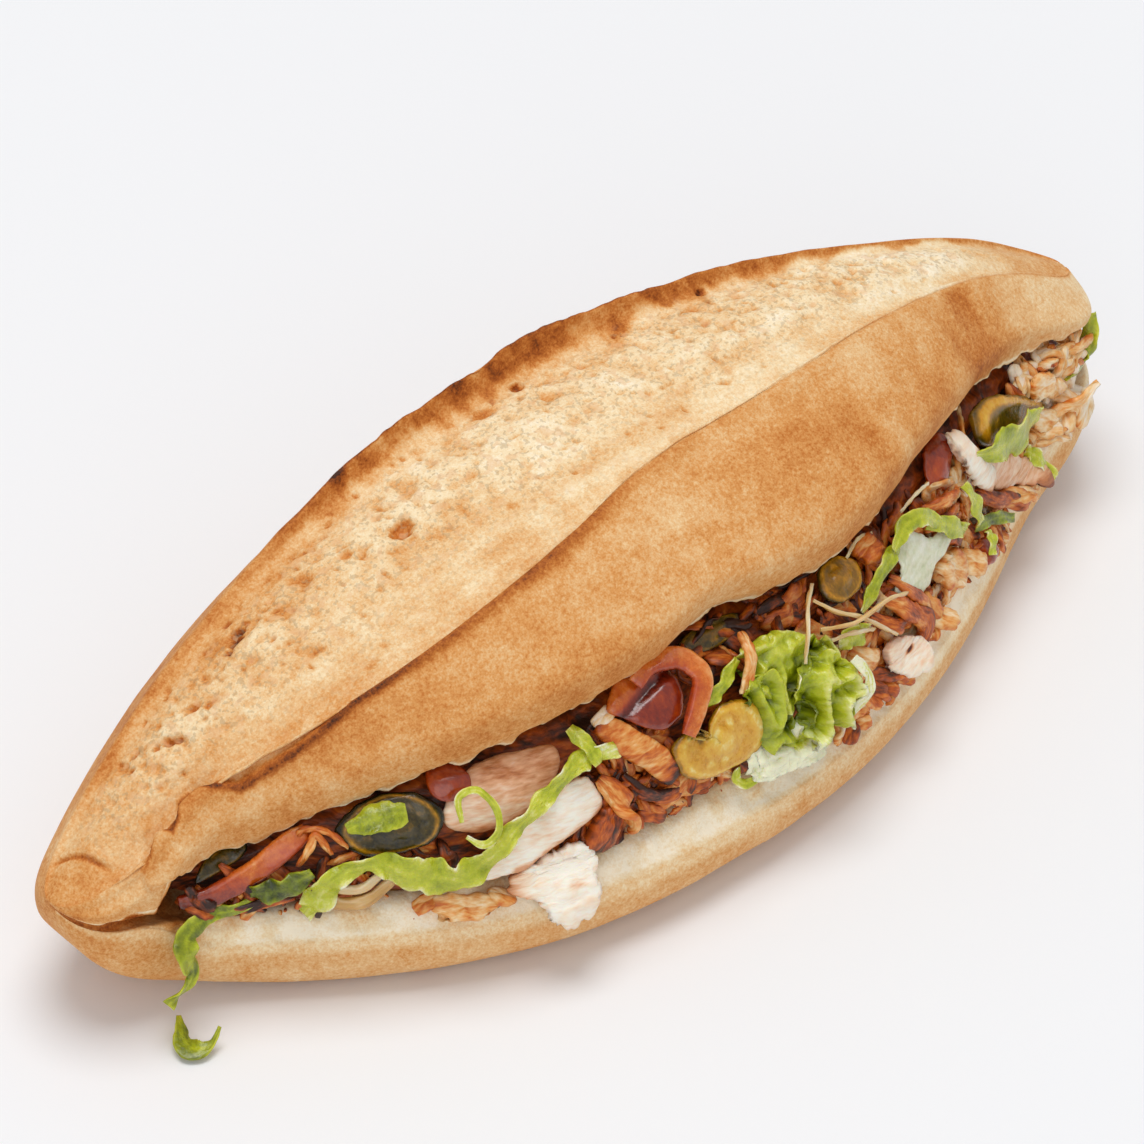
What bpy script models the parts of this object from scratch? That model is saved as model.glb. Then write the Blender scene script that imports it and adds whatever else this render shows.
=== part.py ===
"""Doner kebab sandwich: a slit crusty loaf filled with doner meat, lettuce, tomato, pickles and onion.

+X runs along the loaf, the cut side faces -Y and +Z is up. The loaf rests on z = 0.
All sizes below are in millimetres, and place() turns finished points into metres.
"""
import math

import bmesh
import bpy
import numpy as np
from mathutils import Vector
from mathutils.bvhtree import BVHTree

MM = 0.001

# Loaf: driving sizes
HALF_LENGTH = 136.0
FRONT_REACH = 60.0          # from the long axis to the base's front crust
BACK_REACH = 37.0           # from the long axis to the back crust
NOSE_REACH = 15.0           # half depth of the rounded noses
END_REACH = 21.0            # reach of the base's right end towards the front
SEAM_HEIGHT = 22.0          # height of the ledge that the filling starts on
NOSE_SEAM = 5.5             # the slit's line lies this much higher on the left nose
LEDGE_DROP = 5.5            # the ledge slopes down this far to the crust's edge
GAPE = 32.0                 # opening between base and lid at the middle
END_LIP = 37.5              # height of the lid's edge at the left end of the cut
CROWN_HEIGHT = 82.0         # top of the lid at the middle
CROWN_FOOT = 36.0           # height that the crown falls to at the left nose
CROWN_END = 45.0            # and at the right end
LID_SETBACK = 17.0          # the lid's edge lies this far behind the base's edge
EAR_HEIGHT = 5.0            # torn ridge along the score
CREASE_STEP = 1.6           # front crust stands this high over the burst
HINGE = 15.0                # bread left uncut at the back
CREASE_DEPTH = 1.4          # crease that carries the slit's line round the left nose
CREASE_GAP = 3.5            # and its height

LOAF_STATIONS = 40
SPLITS = 1                  # points added between two section points
SEED = 7


# ---------------------------------------------------------------- loaf section

def fade(s, fullness, taper):
    """1 at the middle of the loaf and 0 at its noses (s = -1 and 1)."""
    return np.clip(1.0 - np.abs(s) ** fullness, 0.0, 1.0) ** taper


def sided(s, left, right):
    """One value or curve for the left half, another for the right half."""
    return np.where(s < 0.0, left, right)


def ease(start, stop, value):
    """Smooth step from 0 at start to 1 at stop."""
    t = np.clip((value - start) / (stop - start), 0.0, 1.0)
    return t * t * (3.0 - 2.0 * t)


def hump(centre, width, value):
    """Bell curve of height 1."""
    return np.exp(-((value - centre) / width) ** 2)


def blunt(s):
    """Rounds both noses off over the last few millimetres."""
    return fade(s, 16, 0.5)


def wider(a, b):
    """Soft maximum of two half widths."""
    return (a ** 4 + b ** 4) ** 0.25


def front(s):
    """Y of the base's front crust."""
    body = FRONT_REACH * sided(s, fade(s, 2.7, 1.6), fade(s, 2.1, 1.2))
    return -wider(body, sided(s, NOSE_REACH, END_REACH) * blunt(s))


def back(s):
    """Y of the back crust."""
    body = BACK_REACH * sided(s, fade(s, 2.5, 0.7), fade(s, 1.6, 1.15))
    return wider(body, NOSE_REACH * blunt(s))


def base_z(z, s):
    """Heights of the base close in on its own nose."""
    nose = sided(s, 33.0, 26.0)
    return nose + (z - nose) * blunt(s)


def lid_z(z, s):
    """Heights of the lid close in on its own nose."""
    nose = sided(s, 33.0, 43.0)
    return nose + (z - nose) * blunt(s)


def sole(s):
    """Height of the underside, flat along the middle and lifting at the noses."""
    lift = sided(s, 14.0, 6.0) * np.clip((np.abs(s) - 0.55) / 0.45, 0.0, 1.0) ** 2
    return base_z(lift, s)


def ledge(s):
    """Height of the slit's floor before the noses close in."""
    return SEAM_HEIGHT + NOSE_SEAM * (1.0 - ease(-0.93, -0.78, s))


def seam(s):
    """Height of the ledge where the filling starts."""
    return base_z(ledge(s), s)


def rim(s):
    """Height of the base's crust edge, below the ledge except at both noses."""
    return seam(s) - LEDGE_DROP * ease(-0.90, -0.80, s) * (1.0 - ease(0.70, 0.92, s))


def slit(s):
    """0 on the whole left nose, 1 where the loaf is cut open."""
    return ease(-0.90, -0.76, s)


def gape(s):
    """Opening between base and lid, a shallow crease where it isn't cut."""
    cut = np.maximum(GAPE * fade(s, 2.6, 1.3) + SEAM_HEIGHT, END_LIP) - ledge(s)
    left = CREASE_GAP + (cut - CREASE_GAP) * ease(-0.885, -0.85, s)
    return sided(s, left, GAPE * (1.0 - 0.6 * np.clip(s, 0.0, 1.0) ** 3))


def edge_wave(s):
    """The lid's edge dips and rises along its length, with a step at three quarters."""
    x = s * HALF_LENGTH
    step = 1.6 * ease(52.0, 62.0, x) * blunt(s)
    return 3.2 * hump(0.0, 12.0, x) - 2.2 * hump(38.0, 18.0, x) + 1.5 * hump(-82.0, 26.0, x) + step


def lip_z(s):
    """Height of the lid's cut edge."""
    return lid_z(ledge(s) + gape(s) + edge_wave(s), s)


def lip_y(s):
    """Y of the lid's cut edge."""
    return front(s) + (LID_SETBACK * (1.0 - s * s) * slit(s) + 0.5 * edge_wave(s)) * blunt(s)


def crown(s):
    """Height of the lid's top."""
    rise = sided(s, fade(s, 2.1, 1.0), fade(s, 2.7, 1.05))
    foot = sided(s, CROWN_FOOT, CROWN_END)
    return lid_z(foot + (CROWN_HEIGHT - foot) * rise, s)


def ear(s):
    """Height of the torn ridge behind the burst, ragged along its length."""
    x = s * HALF_LENGTH
    ragged = 1.0 + 0.16 * np.sin(x * 0.45) + 0.12 * np.sin(x * 1.07 + 1.3)
    return EAR_HEIGHT * ragged * ease(-0.62, -0.12, s) * (1.0 - ease(-0.05, 0.75, s)) * blunt(s)


def score(s):
    """Share of the way from axis to lip at which the front crust begins."""
    return 0.47 + 0.33 * np.clip((0.1 - s) / 0.75, 0.0, 1.0)


def outer_section(s):
    """Outside of the loaf from the base's edge, round the back, to the lid's edge."""
    yf, yl, yb = front(s), lip_y(s), back(s)
    zs, zr, zl, zc = sole(s), rim(s), lip_z(s), crown(s)
    low, high, lid = zr - zs, zc - zs, zc - zl
    e = ear(s)
    q = score(s)
    nose = blunt(s)
    step = CREASE_STEP * nose
    crease_z = zl + lid * (1.0 - 0.28 * q ** 2)
    return [
        (yf, zr),
        (1.015 * yf, zs + 0.72 * low),
        (0.985 * yf, zs + 0.40 * low),
        (0.86 * yf, zs + 0.10 * low),
        (0.62 * yf, zs),
        (0.0 * yf, zs),
        (0.50 * yb, zs),
        (0.84 * yb, zs + 0.05 * high),
        (1.00 * yb, zs + 0.25 * high),
        (1.00 * yb, zs + 0.52 * high),
        (0.86 * yb, zs + 0.76 * high),
        (0.64 * yb, zs + 0.92 * high),
        (0.52 * yb, zc + e),
        (0.40 * yb, zc - 0.8 * nose + 0.15 * e),
        (0.00 * yb, zc + 0.8 * nose),
        (q * yl + 2.4 * nose, crease_z + 0.2 * nose),
        (q * yl, crease_z + step),
        ((q + (1.0 - q) * 0.6) * yl * 1.02, zl + 0.78 * lid * (1.0 - 0.2 * q ** 3)),
        (1.07 * yl, zl + 0.45 * lid),
        (1.06 * yl, zl + 0.18 * lid),
        (yl, zl),
    ]


def pocket_section(s):
    """Inside of the slit from the lid's edge, round the hinge, to the base's edge."""
    yf, yl, yb = front(s), lip_y(s), back(s)
    zr, zl = seam(s), lip_z(s)
    cut = ease(-0.98, -0.72, s)
    nose = blunt(s)
    wall = np.minimum(HINGE, 0.5 * yb)
    hinge_y = yf + CREASE_DEPTH * nose + (yb - wall - yf - CREASE_DEPTH * nose) * cut
    middle = 0.5 * (zr + zl)
    g = zl - zr
    under = yl + 0.45 * (hinge_y - yl)
    floor = yf + 0.5 * (hinge_y - yf)
    return [
        (yl + 0.25 * (under - yl), zl - 0.02 * g),
        (under, zl + 0.06 * g * cut),
        (hinge_y - 3.0 * cut * nose, zl - 0.20 * g),
        (hinge_y, middle),
        (hinge_y - 3.0 * cut * nose, zr + 0.16 * g),
        (floor, zr - 2.5 * nose * cut),
        (yf + 0.22 * (floor - yf), zr + 0.8 * nose * cut + 0.02 * g),
    ]


def through(points, splits):
    """Catmull-Rom curve through the points, with splits points added in each gap."""
    p = np.asarray(points, dtype=float)
    before = np.vstack([2 * p[:1] - p[1:2], p[:-1]])
    after = np.vstack([p[1:], 2 * p[-1:] - p[-2:-1]])
    later = np.vstack([after[1:], 2 * after[-1:] - p[-1:]])
    found = []
    for k in range(splits + 1):
        u = k / (splits + 1)
        found.append(0.5 * (2 * p + (after - before) * u
                            + (2 * before - 5 * p + 4 * after - later) * u ** 2
                            + (3 * p - 3 * after + later - before) * u ** 3))
    rows = np.stack(found, axis=1).reshape(-1, p.shape[1])
    return rows[:len(rows) - splits]


# ---------------------------------------------------------------- filling face

def drape_section(s):
    """Face of the filling: over the base's crust, along its ledge, up the front and under the lid."""
    yf, yl = front(s), lip_y(s)
    zs, ze, zr, zl = sole(s), rim(s), seam(s), lip_z(s)
    k = np.clip(gape(s) / GAPE, 0.05, 1.0)
    g = zl - zr
    return [
        (yf - 2.2, zs + 5.0 * blunt(s)),
        (1.03 * yf - 1.2, zs + 0.62 * (ze - zs)),
        (yf - 0.8, ze + 1.6),
        (yf + 6.0 * k, zr + 2.4),
        (yf + 9.5 * k, zr + 0.44 * g),
        (yl - 1.0 * k, zl - 8.0 * k),
        (yl + 9.0 * k, zl - 4.0 * k),
    ]


FOOT = 3                    # the drape's point where the filling starts
DRAPE_SPLITS = 4
STEP = 1.5                  # distance over which the face's directions are measured


def face_section(x):
    """Section of the filling's face at x, with the distance of each point up the face from its foot."""
    s = np.clip(x / HALF_LENGTH, -0.995, 0.995)
    rows = through(np.array(drape_section(s)), DRAPE_SPLITS)
    run = np.concatenate([[0.0], np.cumsum(np.hypot(*np.diff(rows, axis=0).T))])
    return rows, run - run[FOOT * (DRAPE_SPLITS + 1)]


def face_point(x, v):
    """Point of the filling's face: x along the loaf, v up the face from its foot, both in mm."""
    rows, run = face_section(x)
    return np.array([x, np.interp(v, run, rows[:, 0]), np.interp(v, run, rows[:, 1])])


def face_frame(x, v):
    """Point of the filling's face with its unit directions: along, up the face and outwards."""
    run = face_section(x)[1]
    inside = np.clip(v, run[0] + STEP, run[-1] - STEP)
    along = face_point(x + STEP, inside) - face_point(x - STEP, inside)
    up = face_point(x, inside + STEP) - face_point(x, inside - STEP)
    along /= np.linalg.norm(along)
    out = np.cross(along, up)
    out /= np.linalg.norm(out)
    return face_point(x, v), along, np.cross(out, along), out


def on_face(x, v, lift):
    """World point lift mm outside the filling's face."""
    centre, _, _, out = face_frame(x, v)
    return centre + out * lift


# ---------------------------------------------------------------- making meshes

sandwich = bpy.data.collections.new("doner_kebab_sandwich")
scraps = bpy.data.collections.new("heap_pieces")


def clear_scene():
    """Empty the scene and link the object's collections."""
    for item in list(bpy.data.objects):
        bpy.data.objects.remove(item, do_unlink=True)
    bpy.context.scene.collection.children.link(sandwich)
    bpy.context.scene.collection.children.link(scraps)


def food_material(name, colour, roughness):
    """Principled material of one food."""
    made = bpy.data.materials.new(name)
    made.use_nodes = True
    shader = made.node_tree.nodes["Principled BSDF"]
    shader.inputs["Base Color"].default_value = (*colour, 1.0)
    shader.inputs["Roughness"].default_value = roughness
    shader.inputs["Metallic"].default_value = 0.0
    return made


def place(name, bm, material, collection=sandwich):
    """Turn a bmesh in millimetres into an object in metres."""
    bmesh.ops.scale(bm, vec=(MM, MM, MM), verts=bm.verts)
    mesh = bpy.data.meshes.new(name)
    bm.to_mesh(mesh)
    bm.free()
    mesh.shade_smooth()
    made = bpy.data.objects.new(name, mesh)
    mesh.materials.append(material)
    collection.objects.link(made)
    return made


def loft(name, rings, material):
    """Solid through closed rings with as many points each, capped at both ends."""
    bm = bmesh.new()
    rows = [[bm.verts.new(point) for point in ring] for ring in rings]
    for near, far in zip(rows, rows[1:]):
        for k in range(len(near)):
            n = (k + 1) % len(near)
            bm.faces.new((near[k], far[k], far[n], near[n]))
    bm.faces.new(list(reversed(rows[-1])))
    bm.faces.new(rows[0])
    bmesh.ops.triangulate(bm, faces=bm.faces[:])
    if bm.calc_volume(signed=True) < 0.0:
        bmesh.ops.reverse_faces(bm, faces=bm.faces[:])
    return place(name, bm, material)


def sheet(name, columns, rows, shape, thickness, material, collection=sandwich):
    """Thin solid: shape(p, q) gives the middle surface for p and q from -1 to 1."""
    bm = bmesh.new()
    bmesh.ops.create_grid(bm, x_segments=columns, y_segments=rows, size=1.0)
    bmesh.ops.triangulate(bm, faces=bm.faces[:], quad_method="FIXED")
    for vert in bm.verts:
        vert.co = shape(vert.co.x, vert.co.y)
    made = place(name, bm, material, collection)
    wall = made.modifiers.new("wall", "SOLIDIFY")
    wall.thickness = thickness * MM
    wall.offset = 0.0
    return made


def patch(x, v, lift, length, width, turn, relief, trim):
    """Shape function of a soft piece that follows the filling's face, centred at (x, v)."""
    ca, sa = math.cos(math.radians(turn)), math.sin(math.radians(turn))

    def shape(p, q):
        a, b = trim(p, q)
        a *= 0.5 * length
        b *= 0.5 * width
        return on_face(x + a * ca - b * sa, v + a * sa + b * ca, lift + relief(p, q))
    return shape


def stiff_patch(x, v, lift, length, width, turn, relief, trim):
    """Shape function of a stiff piece that bridges the face's hollows, centred over (x, v)."""
    ca, sa = math.cos(math.radians(turn)), math.sin(math.radians(turn))
    reach = 0.5 * max(length * abs(sa), width * abs(ca))
    low, high = face_point(x, v - reach), face_point(x, v + reach)
    along = np.array([1.0, 0.0, 0.0])
    up = (high - low) / np.linalg.norm(high - low)
    out = np.cross(along, up)
    centre = 0.5 * (low + high)

    def shape(p, q):
        a, b = trim(p, q)
        a *= 0.5 * length
        b *= 0.5 * width
        return centre + along * (a * ca - b * sa) + up * (a * sa + b * ca) + out * (lift + relief(p, q))
    return shape


def round_trim(ragged=0.0, phase=0.0):
    """Maps the unit square to a disc with an uneven rim."""
    def trim(p, q):
        a = p * math.sqrt(1.0 - 0.5 * q * q)
        b = q * math.sqrt(1.0 - 0.5 * p * p)
        turn = math.atan2(b, a)
        uneven = 1.0 + ragged * (math.sin(3 * turn + phase) + 0.7 * math.sin(7 * turn + 2.0 * phase))
        return a * uneven, b * uneven
    return trim


def ribbon(name, route, width, thickness, material, segments=10, ruffle=0.0, waves=3.0, taper=0.35,
           collection=sandwich):
    """Thin strip along a route of (point, outward) pairs, with its long edges ruffled."""
    points = through([point for point, _ in route], 5)
    outs = through([out for _, out in route], 5)
    run = np.concatenate([[0.0], np.cumsum(np.linalg.norm(np.diff(points, axis=0), axis=1))])

    def at(table, share):
        return np.array([np.interp(share * run[-1], run, table[:, k]) for k in range(3)])

    def shape(p, q):
        share = 0.5 * (p + 1.0)
        centre = at(points, share)
        ahead = at(points, min(share + 0.03, 1.0)) - at(points, max(share - 0.03, 0.0))
        ahead /= np.linalg.norm(ahead)
        out = at(outs, share)
        across = np.cross(out, ahead)
        across /= np.linalg.norm(across)
        out = np.cross(ahead, across)
        half = 0.5 * width * (1.0 - taper * abs(p) ** 3) * (1.0 + 0.12 * math.sin(9.0 * p))
        rise = ruffle * math.sin(waves * math.pi * p + 1.2 * q) * (0.4 + 0.6 * q * q)
        return centre + across * (half * q) + out * rise
    return sheet(name, segments, 2, shape, thickness, material, collection)


def face_route(*places):
    """Route on the filling's face through (x, v, lift) places."""
    route = []
    for x, v, lift in places:
        centre, _, _, out = face_frame(x, v)
        route.append((centre + out * lift, out))
    return route


def dish(sag=0.0, wave=0.0, waves=2.0):
    """Relief function: a dished and waved piece."""
    def relief(p, q):
        return sag * (p * p + q * q) + wave * math.sin(waves * math.pi * p + 1.7 * q)
    return relief


# ---------------------------------------------------------------- bread

def stations(first, last, count):
    """Places along the loaf, closer together near the noses."""
    swing = np.linspace(math.asin(first), math.asin(last), count)
    return np.sin(swing)


def build_bread():
    """One solid: base and lid joined along the back, slit open from the left nose to the right end."""
    crust = food_material("bread_crust", (0.60, 0.34, 0.14), 0.75)
    rings = []
    for s in stations(-0.9992, 0.9992, LOAF_STATIONS):
        section = np.vstack([through(outer_section(s), SPLITS), pocket_section(s)])
        section[:, 1] = np.maximum(section[:, 1], sole(s))
        rings.append([(s * HALF_LENGTH, y, z) for y, z in section])
    return loft("bread", rings, crust)


# ---------------------------------------------------------------- salad and sliced pieces

LEAF_THICKNESS = 0.9


def build_lettuce():
    """Shredded and ruffled lettuce: strips and torn leaf pieces."""
    leaf = food_material("lettuce", (0.30, 0.52, 0.06), 0.45)
    pale = food_material("lettuce_rib", (0.60, 0.68, 0.22), 0.5)

    hanging = face_route((-103, 0.5, 1.6), (-108, -2.5, 1.6), (-113, -7.5, 1.8), (-116.5, -12.5, 2.2))
    hanging.append((np.array((-118.5, -19.5, 7.0)), np.array((0.0, -1.0, 0.2))))
    ribbon("lettuce_hanging", hanging, 6.0, LEAF_THICKNESS, leaf, segments=12, ruffle=0.6, waves=4.0)
    upward = np.array((0.0, -0.2, 1.0))
    fallen = [(np.array(point), upward) for point in ((-118.0, -20.5, 3.4), (-122.0, -23.5, 2.2),
                                                      (-121.5, -27.0, 1.8), (-116.0, -28.0, 2.6))]
    ribbon("lettuce_fallen", fallen, 4.5, LEAF_THICKNESS, leaf, segments=9, ruffle=0.3, taper=0.7)

    strips = (("lettuce_long", 6.2, 20, 0.9, 7.0, leaf,
               ((-95, 3, 2.6), (-88, 7, 4.0), (-80, 10, 5.2), (-69, 7.5, 5.0), (-59, 9, 6.2),
                (-47, 16.5, 6.4), (-32, 21.5, 6.0))),
              ("lettuce_curl", 6.5, 8, 1.0, 2.5, leaf,
               ((-100, 8.5, 5.0), (-94, 9.5, 6.6), (-88, 10.5, 7.8))),
              ("lettuce_patch", 6.5, 8, 0.7, 3.0, leaf,
               ((-82, 15.0, 5.0), (-75, 16.5, 5.6), (-68, 14.5, 5.0))),
              ("lettuce_loop", 2.6, 11, 0.0, 3.0, pale,
               ((-63, 14, 8.4), (-60, 18.5, 8.6), (-56, 16, 8.8), (-59, 12, 9.2))),
              ("lettuce_right", 7.0, 9, 1.1, 3.0, leaf, ((87, 15, 5.6), (95, 13, 6.4), (104, 11, 5.6))))
    for name, width, segments, ruffle, waves, material, places in strips:
        ribbon(name, face_route(*places), width, LEAF_THICKNESS, material, segments, ruffle, waves)

    tip = face_route((120.0, 9.0, 2.6), (126.5, 9.5, 2.8))
    tip.append((np.array((132.5, -14.0, 34.5)), np.array((0.3, -0.9, 0.4))))
    tip.append((np.array((137.5, -11.5, 37.0)), np.array((0.5, -0.8, 0.4))))
    ribbon("lettuce_tip", tip, 5.0, LEAF_THICKNESS, leaf, segments=9, ruffle=0.6, taper=0.2)

    leaves = ((11.0, 18.0, 3.2, 24.0, 14.0, -38.0), (19.5, 7.5, 8.0, 21.0, 14.0, -72.0),
              (5.5, -1.5, 2.8, 19.0, 10.0, -16.0))
    for k, (x, v, lift, length, width, turn) in enumerate(leaves):
        shape = stiff_patch(x, v, lift, length, width, turn, dish(sag=-0.4, wave=0.9, waves=2.4),
                            round_trim(0.07, 1.0 + k))
        sheet(f"lettuce_leaf_{k + 1}", 8, 6, shape, LEAF_THICKNESS, leaf)

    shreds = ((37, 16.5, 3.4, 47, 19.5), (50, 19, 5.2, 60, 20), (62, 17.5, 3.4, 72, 8),
              (75, 16, 5.4, 77.5, 5), (27, 13.5, 3.2, 35, 12), (102, 1, 2.6, 106.5, -7),
              (-8, 19, 3.0, 3, 23))
    for k, (x0, v0, lift, x1, v1) in enumerate(shreds):
        middle = (0.5 * (x0 + x1) + 1.0, 0.5 * (v0 + v1) + 1.5, lift + 1.0)
        ribbon(f"lettuce_shred_{k + 1}", face_route((x0, v0, lift), middle, (x1, v1, lift)), 4.0,
               LEAF_THICKNESS, (leaf, pale)[k % 2], segments=8, ruffle=0.7)


def build_vegetables():
    """Tomato, cucumber, pickles, onion and cabbage."""
    tomato = food_material("tomato", (0.58, 0.09, 0.03), 0.35)
    pickle = food_material("pickle", (0.55, 0.46, 0.06), 0.35)
    olive = food_material("pickle_skin", (0.22, 0.19, 0.04), 0.35)
    onion = food_material("onion", (0.80, 0.62, 0.52), 0.4)
    cabbage = food_material("cabbage", (0.70, 0.76, 0.52), 0.45)

    strips = (("tomato_left", 4.8, 1.8, 8, tomato,
               ((-110.5, 3.0, 1.4), (-100, 8.5, 1.6), (-89, 15.0, 1.6))),
              ("tomato_arc", 4.4, 1.8, 11, tomato,
               ((-15, 26.5, 6.8), (-10, 26.5, 7.0), (-8.5, 23.0, 7.0), (-14, 17.5, 7.0))),
              ("onion_ring", 3.2, 1.4, 10, onion,
               ((-90, 3.5, 1.6), (-86, 1.8, 1.8), (-80, 3.0, 1.8), (-76.5, 6.0, 1.6))))
    for name, width, thickness, segments, material, places in strips:
        ribbon(name, face_route(*places), width, thickness, material, segments)

    rounds = (("tomato_wedge_1", -62.3, 22.5, 2.4, 6.5, 6.0, 10.0, 2.0, tomato),
              ("tomato_wedge_2", -20.0, 23.0, 4.4, 12.5, 8.5, -15.0, 2.0, tomato),
              ("tomato_wedge_3", 73.5, 22.5, 2.4, 8.5, 5.5, 10.0, 2.0, tomato),
              ("tomato_wedge_4", 76.5, -4.5, 2.4, 9.0, 6.0, 0.0, 2.0, tomato),
              ("pickle_left", -104.5, 12.6, 0.6, 12.0, 3.6, 25.0, 1.4, olive),
              ("pickle_middle", -8.0, 11.0, 2.6, 20.0, 11.5, -10.0, 2.0, pickle),
              ("pickle_back", -0.5, 29.5, 1.2, 11.0, 5.0, 0.0, 1.4, olive),
              ("pickle_far", 34.5, 22.5, 2.4, 12.0, 7.0, -10.0, 1.8, olive),
              ("pickle_right", 100.0, 12.5, 2.4, 24.0, 9.5, -33.0, 2.0, olive),
              ("cucumber_left", -74.5, 15.0, 2.2, 18.0, 10.0, -5.0, 1.8, olive),
              ("cabbage_leaf", 57.0, 12.5, 2.0, 19.0, 9.0, -25.0, 1.0, cabbage))
    for k, (name, x, v, lift, length, width, turn, thickness, material) in enumerate(rounds):
        shape = patch(x, v, lift, length, width, turn, dish(sag=-0.4, wave=0.25), round_trim(0.04, 0.5 * k))
        sheet(name, 6, 5, shape, thickness, material)

    strands = ((23, 22.5, 41, 8), (23, 16.5, 35, 12), (22, 19.5, 45, 14))
    for k, (x0, v0, x1, v1) in enumerate(strands):
        lift = 6.0 + 2.0 * k
        middle = (0.5 * (x0 + x1), 0.5 * (v0 + v1) + 1.5, lift + 1.0)
        ribbon(f"onion_strand_{k + 1}", face_route((x0, v0, lift), middle, (x1, v1, lift)), 1.9, 1.1, onion,
               segments=8)


def build_slices():
    """The large slices and chunks of meat that lie on the heap."""
    white = food_material("chicken", (0.78, 0.60, 0.42), 0.55)
    crisp = food_material("crisp_meat", (0.35, 0.11, 0.04), 0.5)
    large = (("slice_pale", -50.0, 20.5, 2.2, 15.0, 8.0, 12.0, 2.4, white),
             ("slice_white", -48.5, 9.0, 2.4, 25.0, 9.5, 18.0, 3.0, white),
             ("chunk_front", -48.5, -5.5, 2.8, 16.0, 13.0, 10.0, 3.2, white),
             ("slice_crisp", -25.5, 14.5, 2.0, 19.0, 7.0, -50.0, 2.4, crisp),
             ("chunk_right", 82.0, 12.6, 2.6, 14.5, 8.0, -60.0, 3.2, white),
             ("slice_right", 96.0, 0.5, 2.2, 22.0, 7.0, -45.0, 2.4, white))
    for k, (name, x, v, lift, length, width, turn, thickness, material) in enumerate(large):
        shape = patch(x, v, lift, length, width, turn, dish(sag=-0.5, wave=0.5), round_trim(0.07, 1.3 * k))
        sheet(name, 7, 5, shape, thickness, material)


# ---------------------------------------------------------------- meat heap

HEAP_LEFT = -0.835
HEAP_RIGHT = 0.93
HEAP_STATIONS = 24
HEAP_SHARE = 0.90           # of the pocket's height and depth
HEAP_BACKSET = 0.9          # the core's face lies this far behind the filling's face
HEAP_DROP = 0.5             # and this far below it
CLEARANCE = 0.4             # between a heap piece and whatever else lies there


def heap_ring(s, scale):
    """Section of the heap's core: the filling's face in front, the pocket less its gap behind."""
    face = through(drape_section(s), 1)[2 * FOOT:]
    face[:, 0] += HEAP_BACKSET
    face[:, 1] -= HEAP_DROP
    inner = np.array(pocket_section(s)[1:6])
    middle = 0.5 * (inner.min(axis=0) + inner.max(axis=0))
    inner = middle + (inner - middle) * HEAP_SHARE
    ring = np.vstack([face, inner])
    centre = ring.mean(axis=0)
    return centre + (ring - centre) * scale


def heap_places(random):
    """Bare stretches of the filling, each with (x from, x to, v from, v to, pieces, reach)."""
    zones = ((-79, -60, -7, 1, 6, 2.2), (-62, -14, -1, 5, 8, 2.8), (-40, -20, 0, 14, 7, 3.4),
             (-30, 24, 14, 30, 6, 3.4), (-16, 22, -2, 4, 4, 3.0), (24, 60, -7, 8, 17, 3.6),
             (42, 82, -5, 20, 11, 3.4), (78, 98, -7, 15, 9, 3.4), (98, 131, -10, 16, 24, 4.0),
             (-102, -84, -1, 8, 4, 2.2))
    for x0, x1, v0, v1, count, reach in zones:
        for _ in range(count):
            yield random.uniform(x0, x1), random.uniform(v0, v1), reach * random.uniform(0.7, 1.3)


def heap_piece(index, random, x, v, reach, material):
    """A bit, a slice or a shred of meat, half sunk in the core."""
    kind = index % 3
    turn = random.uniform(0.0, 180.0)
    if kind == 0:
        bm = bmesh.new()
        bmesh.ops.create_icosphere(bm, subdivisions=1, radius=reach)
        centre, along, up, out = face_frame(x, v)
        for vert in bm.verts:
            squash = random.uniform(0.75, 1.25)
            local = vert.co * squash
            vert.co = centre + along * (1.3 * local.x) + up * local.y + out * (0.8 * local.z + 1.0)
        return place(f"heap_{index}", bm, material, scraps)
    if kind == 1:
        shape = patch(x, v, 0.8 + 0.3 * reach, 4.2 * reach, 2.6 * reach, turn,
                      dish(sag=-1.3, wave=0.5), round_trim(0.1, turn))
        return sheet(f"heap_{index}", 3, 3, shape, 2.2, material, scraps)
    a, b = math.cos(math.radians(turn)), math.sin(math.radians(turn))
    half = 2.8 * reach
    route = face_route((x - a * half, v - b * half, -0.8), (x, v, 1.6 + 0.35 * reach),
                       (x + a * half, v + b * half, -0.2))
    return ribbon(f"heap_{index}", route, 2.8, 1.8, material, segments=4, collection=scraps)


def tree_of(item, graph):
    """Search tree of an object's finished mesh, with the clearance round it."""
    mesh = item.evaluated_get(graph).to_mesh()
    corners = [Vector(vert.co) for vert in mesh.vertices]
    faces = [tuple(face.vertices) for face in mesh.polygons]
    item.evaluated_get(graph).to_mesh_clear()
    return BVHTree.FromPolygons(corners, faces, epsilon=CLEARANCE * MM)


def freeze(item):
    """Apply an object's modifiers."""
    graph = bpy.context.evaluated_depsgraph_get()
    mesh = bpy.data.meshes.new_from_object(item.evaluated_get(graph))
    item.modifiers.clear()
    item.data = mesh


def keep_largest(item):
    """Drop loose scraps and sealed hollows that the union left."""
    bm = bmesh.new()
    bm.from_mesh(item.data)
    bmesh.ops.triangulate(bm, faces=bm.faces[:])
    left = set(bm.faces)
    groups = []
    while left:
        group, todo = set(), [left.pop()]
        while todo:
            face = todo.pop()
            group.add(face)
            for edge in face.edges:
                for other in edge.link_faces:
                    if other in left:
                        left.discard(other)
                        todo.append(other)
        groups.append(group)
    largest = max(groups, key=len)
    bmesh.ops.delete(bm, geom=[f for f in bm.faces if f not in largest], context="FACES")
    bm.to_mesh(item.data)
    bm.free()


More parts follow.
